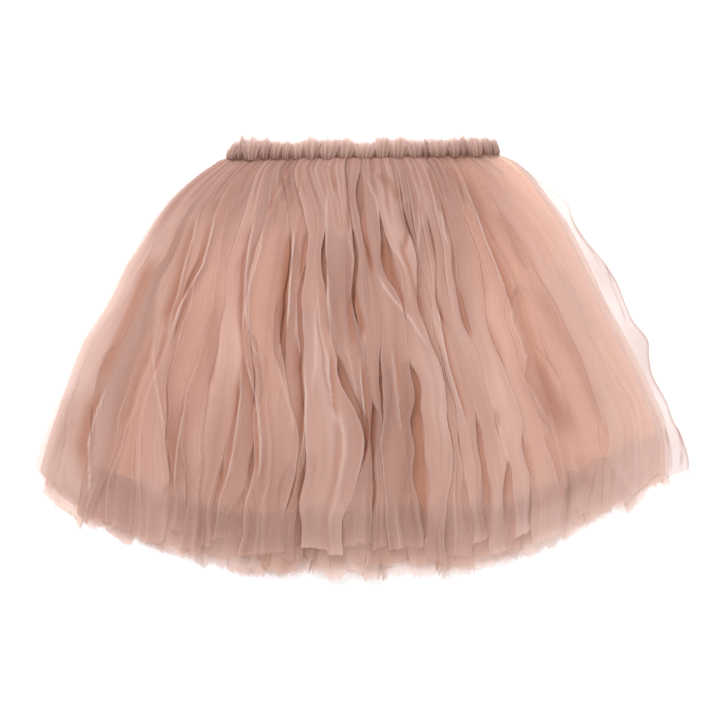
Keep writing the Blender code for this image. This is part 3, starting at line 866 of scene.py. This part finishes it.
def clothShader(nodes, links, colour, rough, threads, reliefStrength, reliefHeight):
    cloth = nodes.new("ShaderNodeBsdfPrincipled")
    links.new(colour, cloth.inputs["Base Color"])
    links.new(rough, cloth.inputs["Roughness"])
    relief = nodes.new("ShaderNodeBump")
    relief.inputs["Strength"].default_value = reliefStrength
    relief.inputs["Distance"].default_value = reliefHeight
    links.new(threads, relief.inputs["Height"])
    links.new(relief.outputs[0], cloth.inputs["Normal"])
    return cloth


def mixShader(nodes, links, factor, first, second):
    node = nodes.new("ShaderNodeMixShader")
    if isinstance(factor, float):
        node.inputs[0].default_value = factor
    else:
        links.new(factor, node.inputs[0])
    links.new(first.outputs[0], node.inputs[1])
    links.new(second.outputs[0], node.inputs[2])
    return node


def finishMaterial(nodes, links, shader):
    output = nodes.new("ShaderNodeOutputMaterial")
    links.new(shader.outputs[0], output.inputs["Surface"])


def tulleMaterial(name, net):
    material, nodes, links = newMaterial(name)
    uvMap = uvNode(nodes)
    turned = nodes.new("ShaderNodeMapping")
    turned.inputs["Rotation"].default_value = (0, 0, math.radians(30))  # threads run aslant to the strip
    links.new(uvMap, turned.inputs["Vector"])
    threads = threadNode(nodes, links, turned.outputs[0], "X", net["meshSize"])
    # colour: slow random changes of tone, a darker tone that also carries painted shade, painted highlights
    # at fold edges, and painted shade in warm brown down in the folds
    streaks = clothNoise(nodes, links, uvMap, net["streaksAcross"], net["streaksDown"], 3)
    tone = mathNode(nodes, links, "MULTIPLY_ADD", streaks, 1.8, -0.4, clamp=True)
    colour = mixNode(nodes, links, tone, net["shade"], net["tint"])
    for label in ("toneAndShade", "edge", "paintedShade"):
        if net[label + "Share"]:
            share = mathNode(nodes, links, "MULTIPLY", attributeNode(nodes, label), net[label + "Share"])
            colour = mixNode(nodes, links, share, colour, net[label])
    # cover: how much the net hides of what is behind it
    showing = mathNode(nodes, links, "MULTIPLY_ADD", threads, net["threadShare"], 1 - net["threadShare"] / 2)
    alpha = mathNode(nodes, links, "MULTIPLY", attributeNode(nodes, "cover"), showing, clamp=True)
    if net["fray"]:
        tufts = clothNoise(nodes, links, uvMap, net["tufts"], 60, 1)
        reach = mathNode(nodes, links, "MULTIPLY", attributeNode(nodes, "fromHem"), 1.5 / net["fray"])
        remaining = mathNode(nodes, links, "SUBTRACT", reach, tufts)
        kept = mathNode(nodes, links, "MULTIPLY_ADD", remaining, 2.5, 1.0, clamp=True)
        alpha = mathNode(nodes, links, "MULTIPLY", alpha, kept, clamp=True)
    rough = mathNode(nodes, links, "MULTIPLY_ADD", tone, 0.2, 0.65)
    cloth = clothShader(nodes, links, colour, rough, threads, 0.04, 0.1 * mm)
    cloth.inputs["Specular IOR Level"].default_value = 0.2
    glow = nodes.new("ShaderNodeBsdfTranslucent")
    links.new(colour, glow.inputs["Color"])
    body = mixShader(nodes, links, net["translucent"], cloth, glow)
    clear = nodes.new("ShaderNodeBsdfTransparent")
    finishMaterial(nodes, links, mixShader(nodes, links, alpha, clear, body))
    return material


peachCloth = {
    "shade": (0.81, 0.52, 0.37),
    "tint": (0.89, 0.61, 0.45),
    "patches": 14.0,  # a metre
    "threadSize": 0.6 * mm,
    "sheen": 0.1,
}


def liningMaterial(name):
    material, nodes, links = newMaterial(name)
    uvMap = uvNode(nodes)
    threads = threadNode(nodes, links, uvMap, "DIAGONAL", peachCloth["threadSize"])
    tone = nodes.new("ShaderNodeTexNoise")
    tone.inputs["Scale"].default_value = peachCloth["patches"]
    links.new(uvMap, tone.inputs["Vector"])
    colour = mixNode(nodes, links, tone.outputs["Fac"], peachCloth["shade"], peachCloth["tint"])
    rough = mathNode(nodes, links, "MULTIPLY_ADD", tone.outputs["Fac"], 0.2, 0.42)
    cloth = clothShader(nodes, links, colour, rough, threads, 0.05, 0.08 * mm)
    cloth.inputs["Sheen Weight"].default_value = peachCloth["sheen"]
    finishMaterial(nodes, links, cloth)
    return material


mauveNet = {
    "tint": (0.71, 0.485, 0.425),
    "shade": (0.54, 0.325, 0.265),
    # painted highlight along fold edges and ridges, where the doubled net catches the light
    "edge": (0.95, 0.79, 0.735),
    "edgeShare": 0.75,
    # painted shade: the warm brown that folds, troughs, gathers and the seam are darkened towards
    "paintedShade": (0.40, 0.165, 0.095),
    "paintedShadeShare": 0.88,
    # a darker tone, mixed in for the folds' own tones and as painted shade on one side of folds and in the
    # gathers under the seam
    "toneAndShade": (0.42, 0.24, 0.20),
    "toneAndShadeShare": 0.78,
    "translucent": 0.35,
    "streaksAcross": 80,  # slow changes of tone, a metre
    "streaksDown": 5,
    "meshSize": 0.9 * mm,
    "threadShare": 0.03,
    "fray": 0,  # how far up from a raw edge the net is frayed
    "tufts": 650,  # a metre
}
warmNet = dict(
    mauveNet,
    tint=(0.68, 0.45, 0.36),
    shade=(0.50, 0.285, 0.205),
    # its painted highlight colour, and how strongly its painted shade shows
    edge=(0.88, 0.68, 0.60),
    paintedShadeShare=0.55,
)
paleNet = dict(
    mauveNet,
    tint=(0.86, 0.67, 0.61),
    shade=(0.70, 0.51, 0.455),
    tufts=380,
    fray=12 * mm,
    # how strongly its painted highlight, painted shade, and darker tone with painted shade show
    edgeShare=0.4,
    paintedShadeShare=0.2,
    toneAndShadeShare=0.3,
)
frillNet = dict(
    mauveNet,
    tint=(0.60, 0.41, 0.355),
    shade=(0.42, 0.26, 0.215),
    # painted shade between the frill's wrinkles and at its pinched foot, and how strongly it and the darker
    # tone show
    paintedShade=(0.34, 0.165, 0.125),
    fray=2.8 * mm,
    paintedShadeShare=0.85,
    toneAndShadeShare=0,
)
materials = {
    "outer_tulle": tulleMaterial("outerTulle", mauveNet),
    "middle_tulle": tulleMaterial("middleTulle", warmNet),
    "inner_tulle": tulleMaterial("innerTulle", paleNet),
    "lining": liningMaterial("peachLining"),
    "waist_frill": tulleMaterial("frillTulle", frillNet),
}

print("layers")
commonLayer = {
    "topSteps": 12,
    "tuck": 0.28,  # share of a fold's width tucked under itself at each side
    "gap": 2.5 * mm,
    "foldSpread": 0.45,  # how unlike each other the folds are in width
    "foldSway": 0.35,
    "swayFrom": 0.25,  # share of the way down at which they sway fully
    "laps": (-0.6, 0.6),
    "foldHeights": (0.65, 1.0),
    "hemUneven": 3.5 * mm,
    "lapReach": 5.5 * mm,
    "rimHeight": 0.76,
    "sideSoft": 0.65,  # how much gentler the folds are towards the sides
    "crease": 0.16,
    "wander": 3.2 * mm,
    "crinkle": 0.45 * mm,
    "pleats": 0.0,  # how strongly folds are pleated again within themselves
    "swell": 0.2,
    "twist": 0.2,
    "closedDepth": 0.1,  # how deep a valley stays where its gap is shut
    "rimHighlight": 0.75,  # how bright the thin painted highlight along a fold's edge is
    "tones": 0.55,  # how much the folds differ in tone
    "sideShade": 0.5,  # how strong the painted shade is where the soft folds at the sides run into each other
    "seamDusk": 1.0,  # how dusky the net is under the waist
    "gathers": 38,
    "gathersEnd": 0.12,
    "gatherDepth": 0.8,
    "hemSlant": 9 * mm,  # how aslant each fold's hem hangs
    "jag": 1.0 * mm,
    "seamCover": 0.7,  # how much denser the gathers make the net under the waist
    "openValley": 0.25,  # how much thinner the net shows down between folds
    "thickness": 0.4,  # how unevenly the folds hide what is behind them
    "hemCover": 1.0,  # how much denser the net is at its hem
    "troughDepth": 0.12,
    "ridgeRise": 0.02,
    # how strong the troughs' painted shade is
    "troughShade": 1.0,
    "troughCover": 1.5,  # how much denser the net is down in a trough
    # how bright the painted highlight at a trough's crisp side and along a ridge is
    "troughLine": 0.7,
    "pastLining": 0.25,  # how much duskier the net is just below the lining's hem
    "ribbons": 48,  # along the hem
    "ribbonDrop": 2.5 * mm,
    "ribbonTone": 0.35,
    "hemPale": 0.0,  # how much of the folds' painted shade and darker tone is lost at the hem
}

backLayer = dict(commonLayer, topSteps=6, tuck=0.04, wander=3 * mm, folds=12, rows=50)

# Each layer's place, as shares: share is its width against the widest, band its lowest and highest place in
# the pile, and hem and hemSide how far down it reaches in the middle and at the sides. Flat sizes are metres.
layers = {
    "outerTulleBack": dict(
        backLayer,
        node="outer_tulle_back",
        finish="outer_tulle",
        flat=(0.62, 0.345),
        share=1.0,
        band=(0.01, 0.05),
        hem=0.925,
        hemSide=1.0,
        seamHeight=0.6 * mm,
        cover=0.22,
        seed=21,
    ),
    "middleTulleBack": dict(
        backLayer,
        node="middle_tulle_back",
        finish="middle_tulle",
        flat=(0.60, 0.35),
        share=0.95,
        leftShare=0.985,
        band=(0.06, 0.11),
        hem=0.955,
        hemSide=0.99,
        seamHeight=1.2 * mm,
        cover=0.25,
        seed=31,
    ),
    "innerTulleBack": dict(
        backLayer,
        node="inner_tulle_back",
        finish="inner_tulle",
        flat=(0.58, 0.36),
        share=0.935,
        leftShare=0.965,
        band=(0.12, 0.18),
        hem=0.99,
        hemSide=1.0,
        seamHeight=1.9 * mm,
        cover=0.35,
        hemCover=1.8,
        seed=41,
    ),
    "liningBack": dict(
        backLayer,
        node="lining_back",
        finish="lining",
        flat=(0.48, 0.30),
        share=0.92,
        leftShare=0.76,
        band=(0.19, 0.23),
        hem=0.83,
        hemSide=0.84,
        seamHeight=2.6 * mm,
        cover=1.0,
        folds=6,
        seed=51,
    ),
    "liningFront": dict(
        commonLayer,
        node="lining_front",
        finish="lining",
        flat=(0.48, 0.30),
        share=0.925,
        leftShare=0.82,
        band=(0.25, 0.33),
        hem=0.835,
        hemSide=0.84,
        seamHeight=2.9 * mm,
        cover=1.0,
        folds=7,
        tuck=0.03,
        topSteps=8,
        hemUneven=2 * mm,
        jag=0.2 * mm,
        rows=60,
        seed=61,
    ),
    "innerTulleFront": dict(
        commonLayer,
        node="inner_tulle_front",
        finish="inner_tulle",
        flat=(0.64, 0.36),
        share=0.945,
        leftShare=0.965,
        band=(0.35, 0.52),
        hem=0.995,
        hemSide=1.0,
        seamHeight=2.2 * mm,
        cover=0.28,
        hemCover=1.9,
        hemPale=0.35,
        folds=11,
        tuck=0.06,
        gap=4 * mm,
        wander=4 * mm,
        hemUneven=6 * mm,
        jag=3 * mm,
        ribbonDrop=3.5 * mm,
        ribbonTone=0.7,
        pastLining=0.9,
        rows=90,
        seed=71,
    ),
    "middleTulleFront": dict(
        commonLayer,
        node="middle_tulle_front",
        finish="middle_tulle",
        flat=(0.66, 0.355),
        share=0.96,
        leftShare=0.985,
        band=(0.53, 0.76),
        hem=0.962,
        hemSide=1.0,
        seamHeight=1.6 * mm,
        cover=0.30,
        hemPale=0.45,
        folds=15,
        tuck=0.14,
        gap=5 * mm,
        wander=3.5 * mm,
        hemUneven=7 * mm,
        ribbonDrop=4 * mm,
        ribbonTone=0.6,
        pastLining=0.65,
        rows=90,
        seed=84,
    ),
    "outerTulleFront": dict(
        commonLayer,
        node="outer_tulle_front",
        finish="outer_tulle",
        flat=(0.8, 0.345),
        share=1.0,
        band=(0.77, 1.0),
        hem=0.925,
        hemSide=1.0,
        seamHeight=1.3 * mm,
        cover=0.42,
        hemPale=0.6,
        folds=0,  # its folds are the table's
        pleats=0.9,
        topSteps=20,
        rows=130,
        seed=96,
    ),
}

# How much of the net's cover each place across keeps: it lies thinner on the right and at the left edge.
coverPlaces = (-1.0, -0.95, -0.88, -0.70, -0.45, -0.2, 0.25, 0.45, 0.7, 0.88, 1.0)
coverShares = (0.6, 0.9, 1.3, 1.25, 1.2, 1.2, 1.2, 1.1, 0.95, 0.9, 1.0)

# How strongly the duskier band below the lining's hem shows at each place across.
bandPlaces = (-0.88, -0.8, -0.42, -0.3, 0.25, 0.35, 0.85, 0.95)
bandShares = (0.0, 1.0, 0.9, 0.3, 0.3, 1.0, 0.9, 0.3)

toneShares = {
    "troughLine": 0.8,  # how much of a fold edge's painted highlight is lost down in a trough
    "paleDepth": 0.5,  # how much of the folds' painted shade is lost where the net is pale
    "seamDusk": 0.7,  # how much darker tone the folds' painted shade turns into near the seam
    "seamDepth": 0.6,  # and how much of the shade is lost for it
    "bandPale": 0.6,  # how much less pale the hem is in the dusky band below the lining
    # how bright the painted highlight at a hem ribbon's edge is
    "ribbonLine": 0.55,
    "rightLines": 0.5,  # how much of the painted highlights is lost on the right
    "warmGlow": 0.2,
    "hemGlow": 0.6,
}

coverForm = {
    "patches": 0.35,  # how uneven the cover is down a fold
    "most": 0.97,
    "steepest": 0.55,  # past this tilt, cloth seen aslant hides no more
    "edgeLine": 0.7,  # how much of what shows through an edge line hides
}

film = {  # the sheer net that puffs out at the right side
    "cover": 0.21,
    "uneven": 0.35,
    "troughCover": 0.3,
    "rimCover": 0.14,
    "toneAndShade": 1.1,
}


def hemRibbons(layer, place):
    # a hem's uneven ribbons: how far each place's ribbon drops, how dusky it is, and the painted highlight at
    # its edge
    chance = np.random.RandomState(layer["seed"] + 40)
    count = layer["ribbons"]
    turn = np.interp(place, chanceBorders(chance.uniform(0.3, 1.8, count)), np.arange(count + 1))
    ribbon = np.clip(np.floor(turn), 0, count - 1).astype(int)
    drop, tone, line = chance.uniform(-1, 1, count), chance.uniform(-1, 1, count), chance.uniform(0, 1, count)
    nearEdge = np.abs(2 * (turn - ribbon) - 1) ** 6
    return {"drop": drop[ribbon], "tone": tone[ribbon], "line": line[ribbon] * nearEdge}


def hemDrop(layer, folds, place, foldOf, withinFold, ribbons, chance):
    # how far each column's hem drops: its fold's drop, a slant across it, a torn edge, and its ribbon's drop
    jag = np.convolve(chance.uniform(-1, 1, len(place) + 8), np.ones(3) / 3, "same")[4:-4]
    slant = chance.uniform(-1, 1, len(folds["height"]))[foldOf] * (withinFold - 0.5)
    looser = 1 + comesIn("looserHem", np.abs(place))
    drop = folds["drop"][foldOf] + layer["hemSlant"] * slant + layer["jag"] * jag
    return drop + layer["ribbonDrop"] * ribbons["drop"] * looser


def shadeLayer(layer, wide, reached, edge, paintedShade, toneAndShade, trough, crisp, ribbons):
    # where the net shows painted highlights, painted shade, and a darker tone with painted shade; glow is
    # what the palest stretches add to the pale edge colour
    paintedShade = np.maximum(paintedShade, layer["troughShade"] * trough)
    edge = np.maximum(edge * (1 - toneShares["troughLine"] * trough), layer["troughLine"] * crisp)
    pale = lie["rightPale"] * comesIn("paleRight", wide) * goesOut("paleRightOut", wide)
    pale = pale + lie["leftPale"] * comesIn("paleLeft", -wide) * comesIn("paleLeftBelow", reached)
    toneAndShade, paintedShade = toneAndShade * (1 - pale), paintedShade * (1 - toneShares["paleDepth"] * pale)
    nearSeam = goesOut("nearSeam", reached)
    toneAndShade = toneAndShade + toneShares["seamDusk"] * paintedShade * nearSeam
    paintedShade = paintedShade * (1 - toneShares["seamDepth"] * nearSeam)
    warm = comesIn("warm", wide) * goesOut("warmOut", wide) * comesIn("warmBelow", reached)
    toneAndShade = toneAndShade * (1 - lie["rightWarm"] * warm)
    atHem = comesIn("hem", reached / reached[-1:])
    paintedShade = paintedShade * (1 - layer["hemPale"] * atHem)
    toneAndShade = toneAndShade * (1 - layer["hemPale"] * atHem) + layer["ribbonTone"] * ribbons["tone"] * atHem
    band = comesIn("pastLining", reached) * goesOut("pastLiningOut", reached)
    band = band * np.interp(wide, bandPlaces, bandShares)
    toneAndShade = np.clip(toneAndShade, 0, mostDusk) + layer["pastLining"] * band
    paleHem = lie["rightHemPale"] * atHem * comesIn("paleHem", wide) * goesOut("paleHemOut", wide)
    paleHem = paleHem * (1 - toneShares["bandPale"] * band)
    toneAndShade, paintedShade = toneAndShade * (1 - paleHem), paintedShade * (1 - paleHem)
    edge = np.maximum(edge, toneShares["ribbonLine"] * ribbons["line"] * atHem)
    edge = edge * (1 - toneShares["rightLines"] * comesIn("softLines", wide))
    glow = np.maximum(pale + toneShares["warmGlow"] * warm, toneShares["hemGlow"] * paleHem)
    return edge, paintedShade, toneAndShade, glow


def netCover(layer, points, wide, reached, edge, paintedShade, trough, foldOf, count, chance):
    # how much the net hides at each point: more where it is gathered, doubled or seen aslant
    thick = chance.uniform(1 - layer["thickness"], 1 + layer["thickness"], count)[foldOf]
    patches = slowNoise(layer["seed"] + 30, count, rowPlaces(layer), waves=(0.6, 1.4, 2.7))[foldOf].T
    keeps = np.interp(wide, coverPlaces, coverShares)
    single = layer["cover"] * keeps * thick * (1 + coverForm["patches"] * patches)
    single = single * (1 + layer["seamCover"] * goesOut("seamCover", reached) * goesOut("seamCoverOut", wide))
    single = single * (1 + layer["troughCover"] * trough)
    single = single * (1 + (layer["hemCover"] - 1) * comesIn("hemCover", reached / reached[-1:]))
    cover = coverSeen(np.clip(single, 0, coverForm["most"]), points, coverForm["steepest"])
    cover = 1 - (1 - cover) * (1 - coverForm["edgeLine"] * edge * keeps)
    return cover * (1 - layer["openValley"] * paintedShade * (1 - trough))


def filmCover(layer, wide, trough):
    thin = slowNoise(layer["seed"] + 31, 1, rowPlaces(layer), waves=(1.3, 2.9, 5.3))[0][:, None]
    cover = film["cover"] * (1 + film["uneven"] * thin) + film["troughCover"] * trough
    return cover + film["rimCover"] * comesIn("filmRim", wide)


def rowPlaces(layer):
    return np.linspace(0, 1, layer["rows"]) ** rowCrowding


def makeLayer(name, layer):
    down = rowPlaces(layer)
    folds = chanceFolds(layer, down) if layer["folds"] else tableFolds(down)
    across, height, edge, paintedShade, toneAndShade = foldedSheet(layer, folds, down)
    rows, columns = across.shape
    count = len(folds["height"])
    perFold = (columns - 1) // count
    foldOf = np.minimum(np.arange(columns) // perFold, count - 1)
    withinFold = (np.arange(columns) % perFold) / perFold
    chance = np.random.RandomState(layer["seed"] + 5)
    ribbons = hemRibbons(layer, across[-1])
    drop = hemDrop(layer, folds, across[-1], foldOf, withinFold, ribbons, chance)
    points, wide, reached = layPanel(layer, across, height, drop)
    trough, crisp = troughsAt(points[:, :, 0], lie["seamY"] - points[:, :, 1])
    points[:, :, 2] *= 1 - layer["troughDepth"] * trough + layer["ridgeRise"] * crisp
    edge, paintedShade, toneAndShade, glow = shadeLayer(layer, wide, reached, edge, paintedShade, toneAndShade, trough, crisp, ribbons)
    cover = np.ones_like(edge)
    if layer["cover"] < 1:
        isFilm = comesIn("film", wide)
        cover = netCover(layer, points, wide, reached, edge, paintedShade, trough, foldOf, count, chance)
        cover = cover * (1 - isFilm) + isFilm * filmCover(layer, wide, trough)
        toneAndShade = toneAndShade * (1 - isFilm) + film["toneAndShade"] * isFilm
        paintedShade = paintedShade * (1 - isFilm)
        edge = np.maximum(edge, glow) * (1 - isFilm)
    uv, fromHem = clothUv(points)
    values = {"cover": cover, "edge": edge, "paintedShade": paintedShade, "toneAndShade": toneAndShade, "fromHem": fromHem}
    piece = clothPiece(name, points, gridFaces(rows, columns), uv, values, materials[layer["finish"]])
    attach(piece, "root")
    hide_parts(layer["node"])


for name, layer in layers.items():
    print("layer", name)
    makeLayer(name, layer)

print("waist frill")
frill = {
    "height": 18.5 * mm,
    "steps": 44,  # across a clump
    "rows": 14,
    "centre": 1.8 * mm,
    "seamOverlap": 0.8 * mm,
    "clumpTall": (0.80, 1.06),  # shortest and tallest
    "sheetTall": (0.93, 1.04),
    "leans": 0.8,
    "leanOut": 0.5,
    "puffs": (0.5, 1.0),
    "wrinkles": 2.9,  # in each clump
    "wrinkleSpread": (0.7, 1.4),
    "room": (0.35, 2),  # least and most a clump's width counts for how many it holds
    "fanOut": 0.25,
    "swirl": (1.4, 2.3),  # how far wrinkles wander, and how often
    "fineShare": 0.3,  # of the finer wrinkles between the coarse ones
    "finePace": 2.7,
    "wrinkleHeight": 0.07,
    "rounding": (0.30, 2.6),  # how much lower a clump is at its sides, and how squarely it rounds over
    "wrinkleTop": 0.07,  # how much of the torn edge follows the wrinkles
    "teeth": 0.10,
    "bumps": (0.08, 1.7),
    "foot": 0.80,  # width of a clump's foot against its place in the row
    "spread": (0.5, 0.8),  # how much wider it is at the top, and how late it widens
    "shortEnds": 0.55,  # how tall the frill is at its two ends
    "rightIn": 0.02,  # how far it draws in at the top
    "leftFoot": 0.014,
    "leftIn": 0.022,
    "thinEnds": 0.25,
    "pinch": 0.2,  # share of the height over which the pinched foot gets painted shade
    # painted shade at the frill's foot: how dark, and over what share of the height it runs out
    "seamShade": (0.3, 0.06),
    "front": {
        "node": "waist_frill_front",
        "flat": (1.1, 0.017),
        "cover": 0.62,
        # sheets from the top down: low and high share of the frill's height, seed, how tall
        "sheets": ((0.66, 1.0, 3, 0.93), (0.42, 0.72, 5, 1.0), (0.26, 0.5, 8, 1.04)),
    },
    "back": {
        "node": "waist_frill_back",
        "flat": (0.7, 0.017),
        "cover": 0.7,
        "sheets": ((0.16, 0.30, 11, 0.95), (0.03, 0.16, 13, 1.0)),
    },
}


def frillSheet(low, high, seed, tallShare):
    # points of one sheet of the frill, a bunched clump beside a bunched clump, with its painted highlights
    # and painted shade
    chance = np.random.RandomState(seed)
    clumps, steps, rows = lie["clumps"], frill["steps"], frill["rows"]
    borders = clumpBorders()
    clump = np.repeat(np.arange(clumps), steps)
    within = np.tile(np.linspace(-1, 1, steps), clumps)
    centre = (borders[:-1] + borders[1:])[clump] / 2
    halfSize = (borders[1:] - borders[:-1])[clump] / 2
    clumpTall = np.random.RandomState(lie["clumpSeed"] + 2).uniform(*frill["clumpTall"], clumps)
    tall = (clumpTall * chance.uniform(*frill["sheetTall"], clumps))[clump] * tallShare
    lean = chance.uniform(-frill["leans"], frill["leans"], clumps)[clump]
    puff = chance.uniform(*frill["puffs"], clumps)[clump]
    phase = chance.uniform(0, math.tau, clumps)[clump]
    roomy = np.sqrt(np.clip(halfSize * clumps, *frill["room"]))  # a wide clump holds more wrinkles
    wrinkles = frill["wrinkles"] * roomy * chance.uniform(*frill["wrinkleSpread"], clumps)[clump]
    up = np.linspace(0, 1, rows)[:, None]
    foot = centre + halfSize * within
    ends = np.clip(1 - np.abs(foot) ** 30, 0, 1)
    # wrinkles fan out upwards, coarse ones with finer ones between
    fan = within * (1 - frill["fanOut"] * up)
    far, often = frill["swirl"]
    wrinkle = np.cos(wrinkles * math.pi * fan + phase + far * np.sin(often * fan + 2 * phase))
    fine = np.cos(frill["finePace"] * wrinkles * math.pi * fan + 3 * phase)
    wrinkle = (1 - frill["fineShare"]) * wrinkle + frill["fineShare"] * fine
    # the torn top edge: rounded over each clump, with bumps and teeth
    teeth = np.convolve(chance.uniform(-1, 1, len(within) + 4), np.ones(2) / 2, "same")[2:-2]
    bumpSize, bumpPace = frill["bumps"]
    lower, squareness = frill["rounding"]
    rounded = 1 - lower * np.abs(within) ** squareness + frill["wrinkleTop"] * wrinkle[-1]
    rounded = rounded + frill["teeth"] * teeth + bumpSize * np.cos(bumpPace * math.pi * within + 2 * phase)
    wider, late = frill["spread"]
    place = centre + halfSize * (within * (frill["foot"] + wider * up**late) + lean * up * frill["leanOut"])
    base = lie["seamY"] + seamLift(foot) - seamDip(foot) - frill["seamOverlap"]
    fullness = frill["shortEnds"] + (1 - frill["shortEnds"]) * ends
    top = lie["seamY"] + frill["height"] * tall * rounded * fullness + 0.8 * seamLift(foot)
    points = np.zeros((rows, len(within), 3))
    leftFlare = 1 + frill["leftFoot"] * (1 - up) - frill["leftIn"] * up**2
    flare = np.where(centre < 0, leftFlare, 1 - frill["rightIn"] * up**2)
    points[:, :, 0] = frill["centre"] + place * lie["waistHalf"] * flare
    points[:, :, 1] = base + (top - base) * up
    dome = np.sqrt(np.clip(1 - within**2, 0, 1)) * puff
    bulge = smoothStep(0.42 + 1.1 * up) * (1 - 0.45 * smoothStep(up * 1.6 - 0.7))
    level = low - 0.12 + (high - low + 0.12) * np.clip(dome * bulge, 0, 1)
    ridge = frill["wrinkleHeight"] * wrinkle * (1 - 0.5 * up)
    level = level * (0.85 + 0.15 * smoothStep(up * 4)) + ridge - 0.05
    thinning = frill["thinEnds"] + (1 - frill["thinEnds"]) * ends
    points[:, :, 2] = 0.4 * mm + frillHigh[2] * np.clip(level, 0.02, 1.05) * thinning
    # painted shade down between the wrinkles and clumps, and most of all where the foot is pinched; pale
    # towards the top, with painted highlights on the wrinkles' crests and the clumps' sides
    pinched = np.exp(-up / frill["pinch"])
    paintedShade = (0.5 - 0.5 * wrinkle) ** 2 * (0.45 + 0.75 * pinched) + (0.4 + 1.4 * pinched) * np.abs(within) ** 5
    seamShade, shadeUp = frill["seamShade"]
    paintedShade = np.clip(paintedShade + seamShade * np.exp(-up / shadeUp), 0, 1)
    edge = np.clip(0.7 * up**4 + 0.2 * np.clip(wrinkle, 0, 1) + 0.4 * np.abs(within) ** 8 * up, 0, 1)
    return points, edge, paintedShade * (1 - 0.6 * up)


def makeFrill(name, side):
    parts = {label: [] for label in ("points", "faces", "uv", "cover", "edge", "paintedShade", "fromHem")}
    start = 0
    for sheet in side["sheets"]:
        points, edge, paintedShade = frillSheet(*sheet)
        rows, columns = points.shape[:2]
        uv, fromHem = clothUv(points)
        tip = np.linspace(0, 1, rows)[:, None] ** 2
        cover = coverSeen(side["cover"] * (1 - 0.5 * tip), points, 0.3)
        faces = gridFaces(rows, columns, start, rowsGoDown=False)
        for label, part in zip(parts, (points, faces, uv, cover, edge, paintedShade, fromHem)):
            parts[label].append(part.reshape(rows * columns, -1) if label != "faces" else part)
        start += rows * columns
    points, faces, uv = (np.concatenate(parts.pop(label)) for label in ("points", "faces", "uv"))
    values = {label: np.concatenate(sheets) for label, sheets in parts.items()}
    piece = clothPiece(name, points, faces, uv, values, materials["waist_frill"])
    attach(piece, "root")
    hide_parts(side["node"])


makeFrill("waistFrillFront", frill["front"])
makeFrill("waistFrillBack", frill["back"])

print("floor, light and camera")
room = {
    "floorHalf": 4.0,
    "floorGlow": 0.12,
    "pixel": 0.88 * mm,  # on the skirt, across the picture
    "picture": 720,  # pixels across
    "skirtLevel": 15 * mm,  # where the pixel's size holds
    "cameraHeight": 1.9,
    "aim": (-1.3 * mm, -1.0 * mm),
    "sensor": 36,
    "keyPower": 25.0,
    "keyPlace": (-0.4, 0.95, 1.2),
    "keySize": 0.7,
    "fillPower": 4.0,
    "fillPlace": (0.9, -0.4, 1.4),
    "fillSize": 1.2,
    "sky": 0.80,
}


def makeFloor():
    half = room["floorHalf"]
    mesh = bpy.data.meshes.new("floor")
    corners = [(-half, -half, 0), (half, -half, 0), (half, half, 0), (-half, half, 0)]
    mesh.from_pydata(corners, [], [(0, 1, 2, 3)])
    material, nodes, links = newMaterial("paleFloor")
    shader = nodes.new("ShaderNodeBsdfPrincipled")
    shader.inputs["Base Color"].default_value = (0.96, 0.96, 0.96, 1)
    shader.inputs["Roughness"].default_value = 0.8
    shader.inputs["Emission Color"].default_value = (1, 1, 1, 1)
    shader.inputs["Emission Strength"].default_value = room["floorGlow"]
    finishMaterial(nodes, links, shader)
    mesh.materials.append(material)
    floor = bpy.data.objects.new("floor", mesh)
    bpy.context.scene.collection.objects.link(floor)


def areaLight(name, place, size, power):
    light = bpy.data.lights.new(name, "AREA")
    light.shape = "DISK"
    light.size = size
    light.energy = power
    lamp = bpy.data.objects.new(name, light)
    lamp.location = place
    lamp.rotation_euler = (-Vector(place)).to_track_quat("-Z", "Y").to_euler()  # towards the skirt's middle
    bpy.context.scene.collection.objects.link(lamp)


def makeCamera():
    data = bpy.data.cameras.new("camera")
    data.sensor_width = room["sensor"]
    pictureWidth = room["picture"] * room["pixel"]
    data.lens = room["sensor"] * (room["cameraHeight"] - room["skirtLevel"]) / pictureWidth
    camera = bpy.data.objects.new("camera", data)
    camera.location = (*room["aim"], room["cameraHeight"])
    bpy.context.scene.collection.objects.link(camera)
    bpy.context.scene.camera = camera


makeFloor()
areaLight("keyLight", room["keyPlace"], room["keySize"], room["keyPower"])
areaLight("fillLight", room["fillPlace"], room["fillSize"], room["fillPower"])
makeCamera()

world = bpy.data.worlds.new("softRoom")
world.use_nodes = True
sky = world.node_tree.nodes["Background"]
sky.inputs["Color"].default_value = (1, 1, 1, 1)
sky.inputs["Strength"].default_value = room["sky"]
scene = bpy.context.scene
scene.world = world
scene.view_settings.view_transform = "Standard"
scene.cycles.transparent_max_bounces = 40  # the eye looks through many layers of net
scene.cycles.max_bounces = 6
scene.cycles.diffuse_bounces = 4
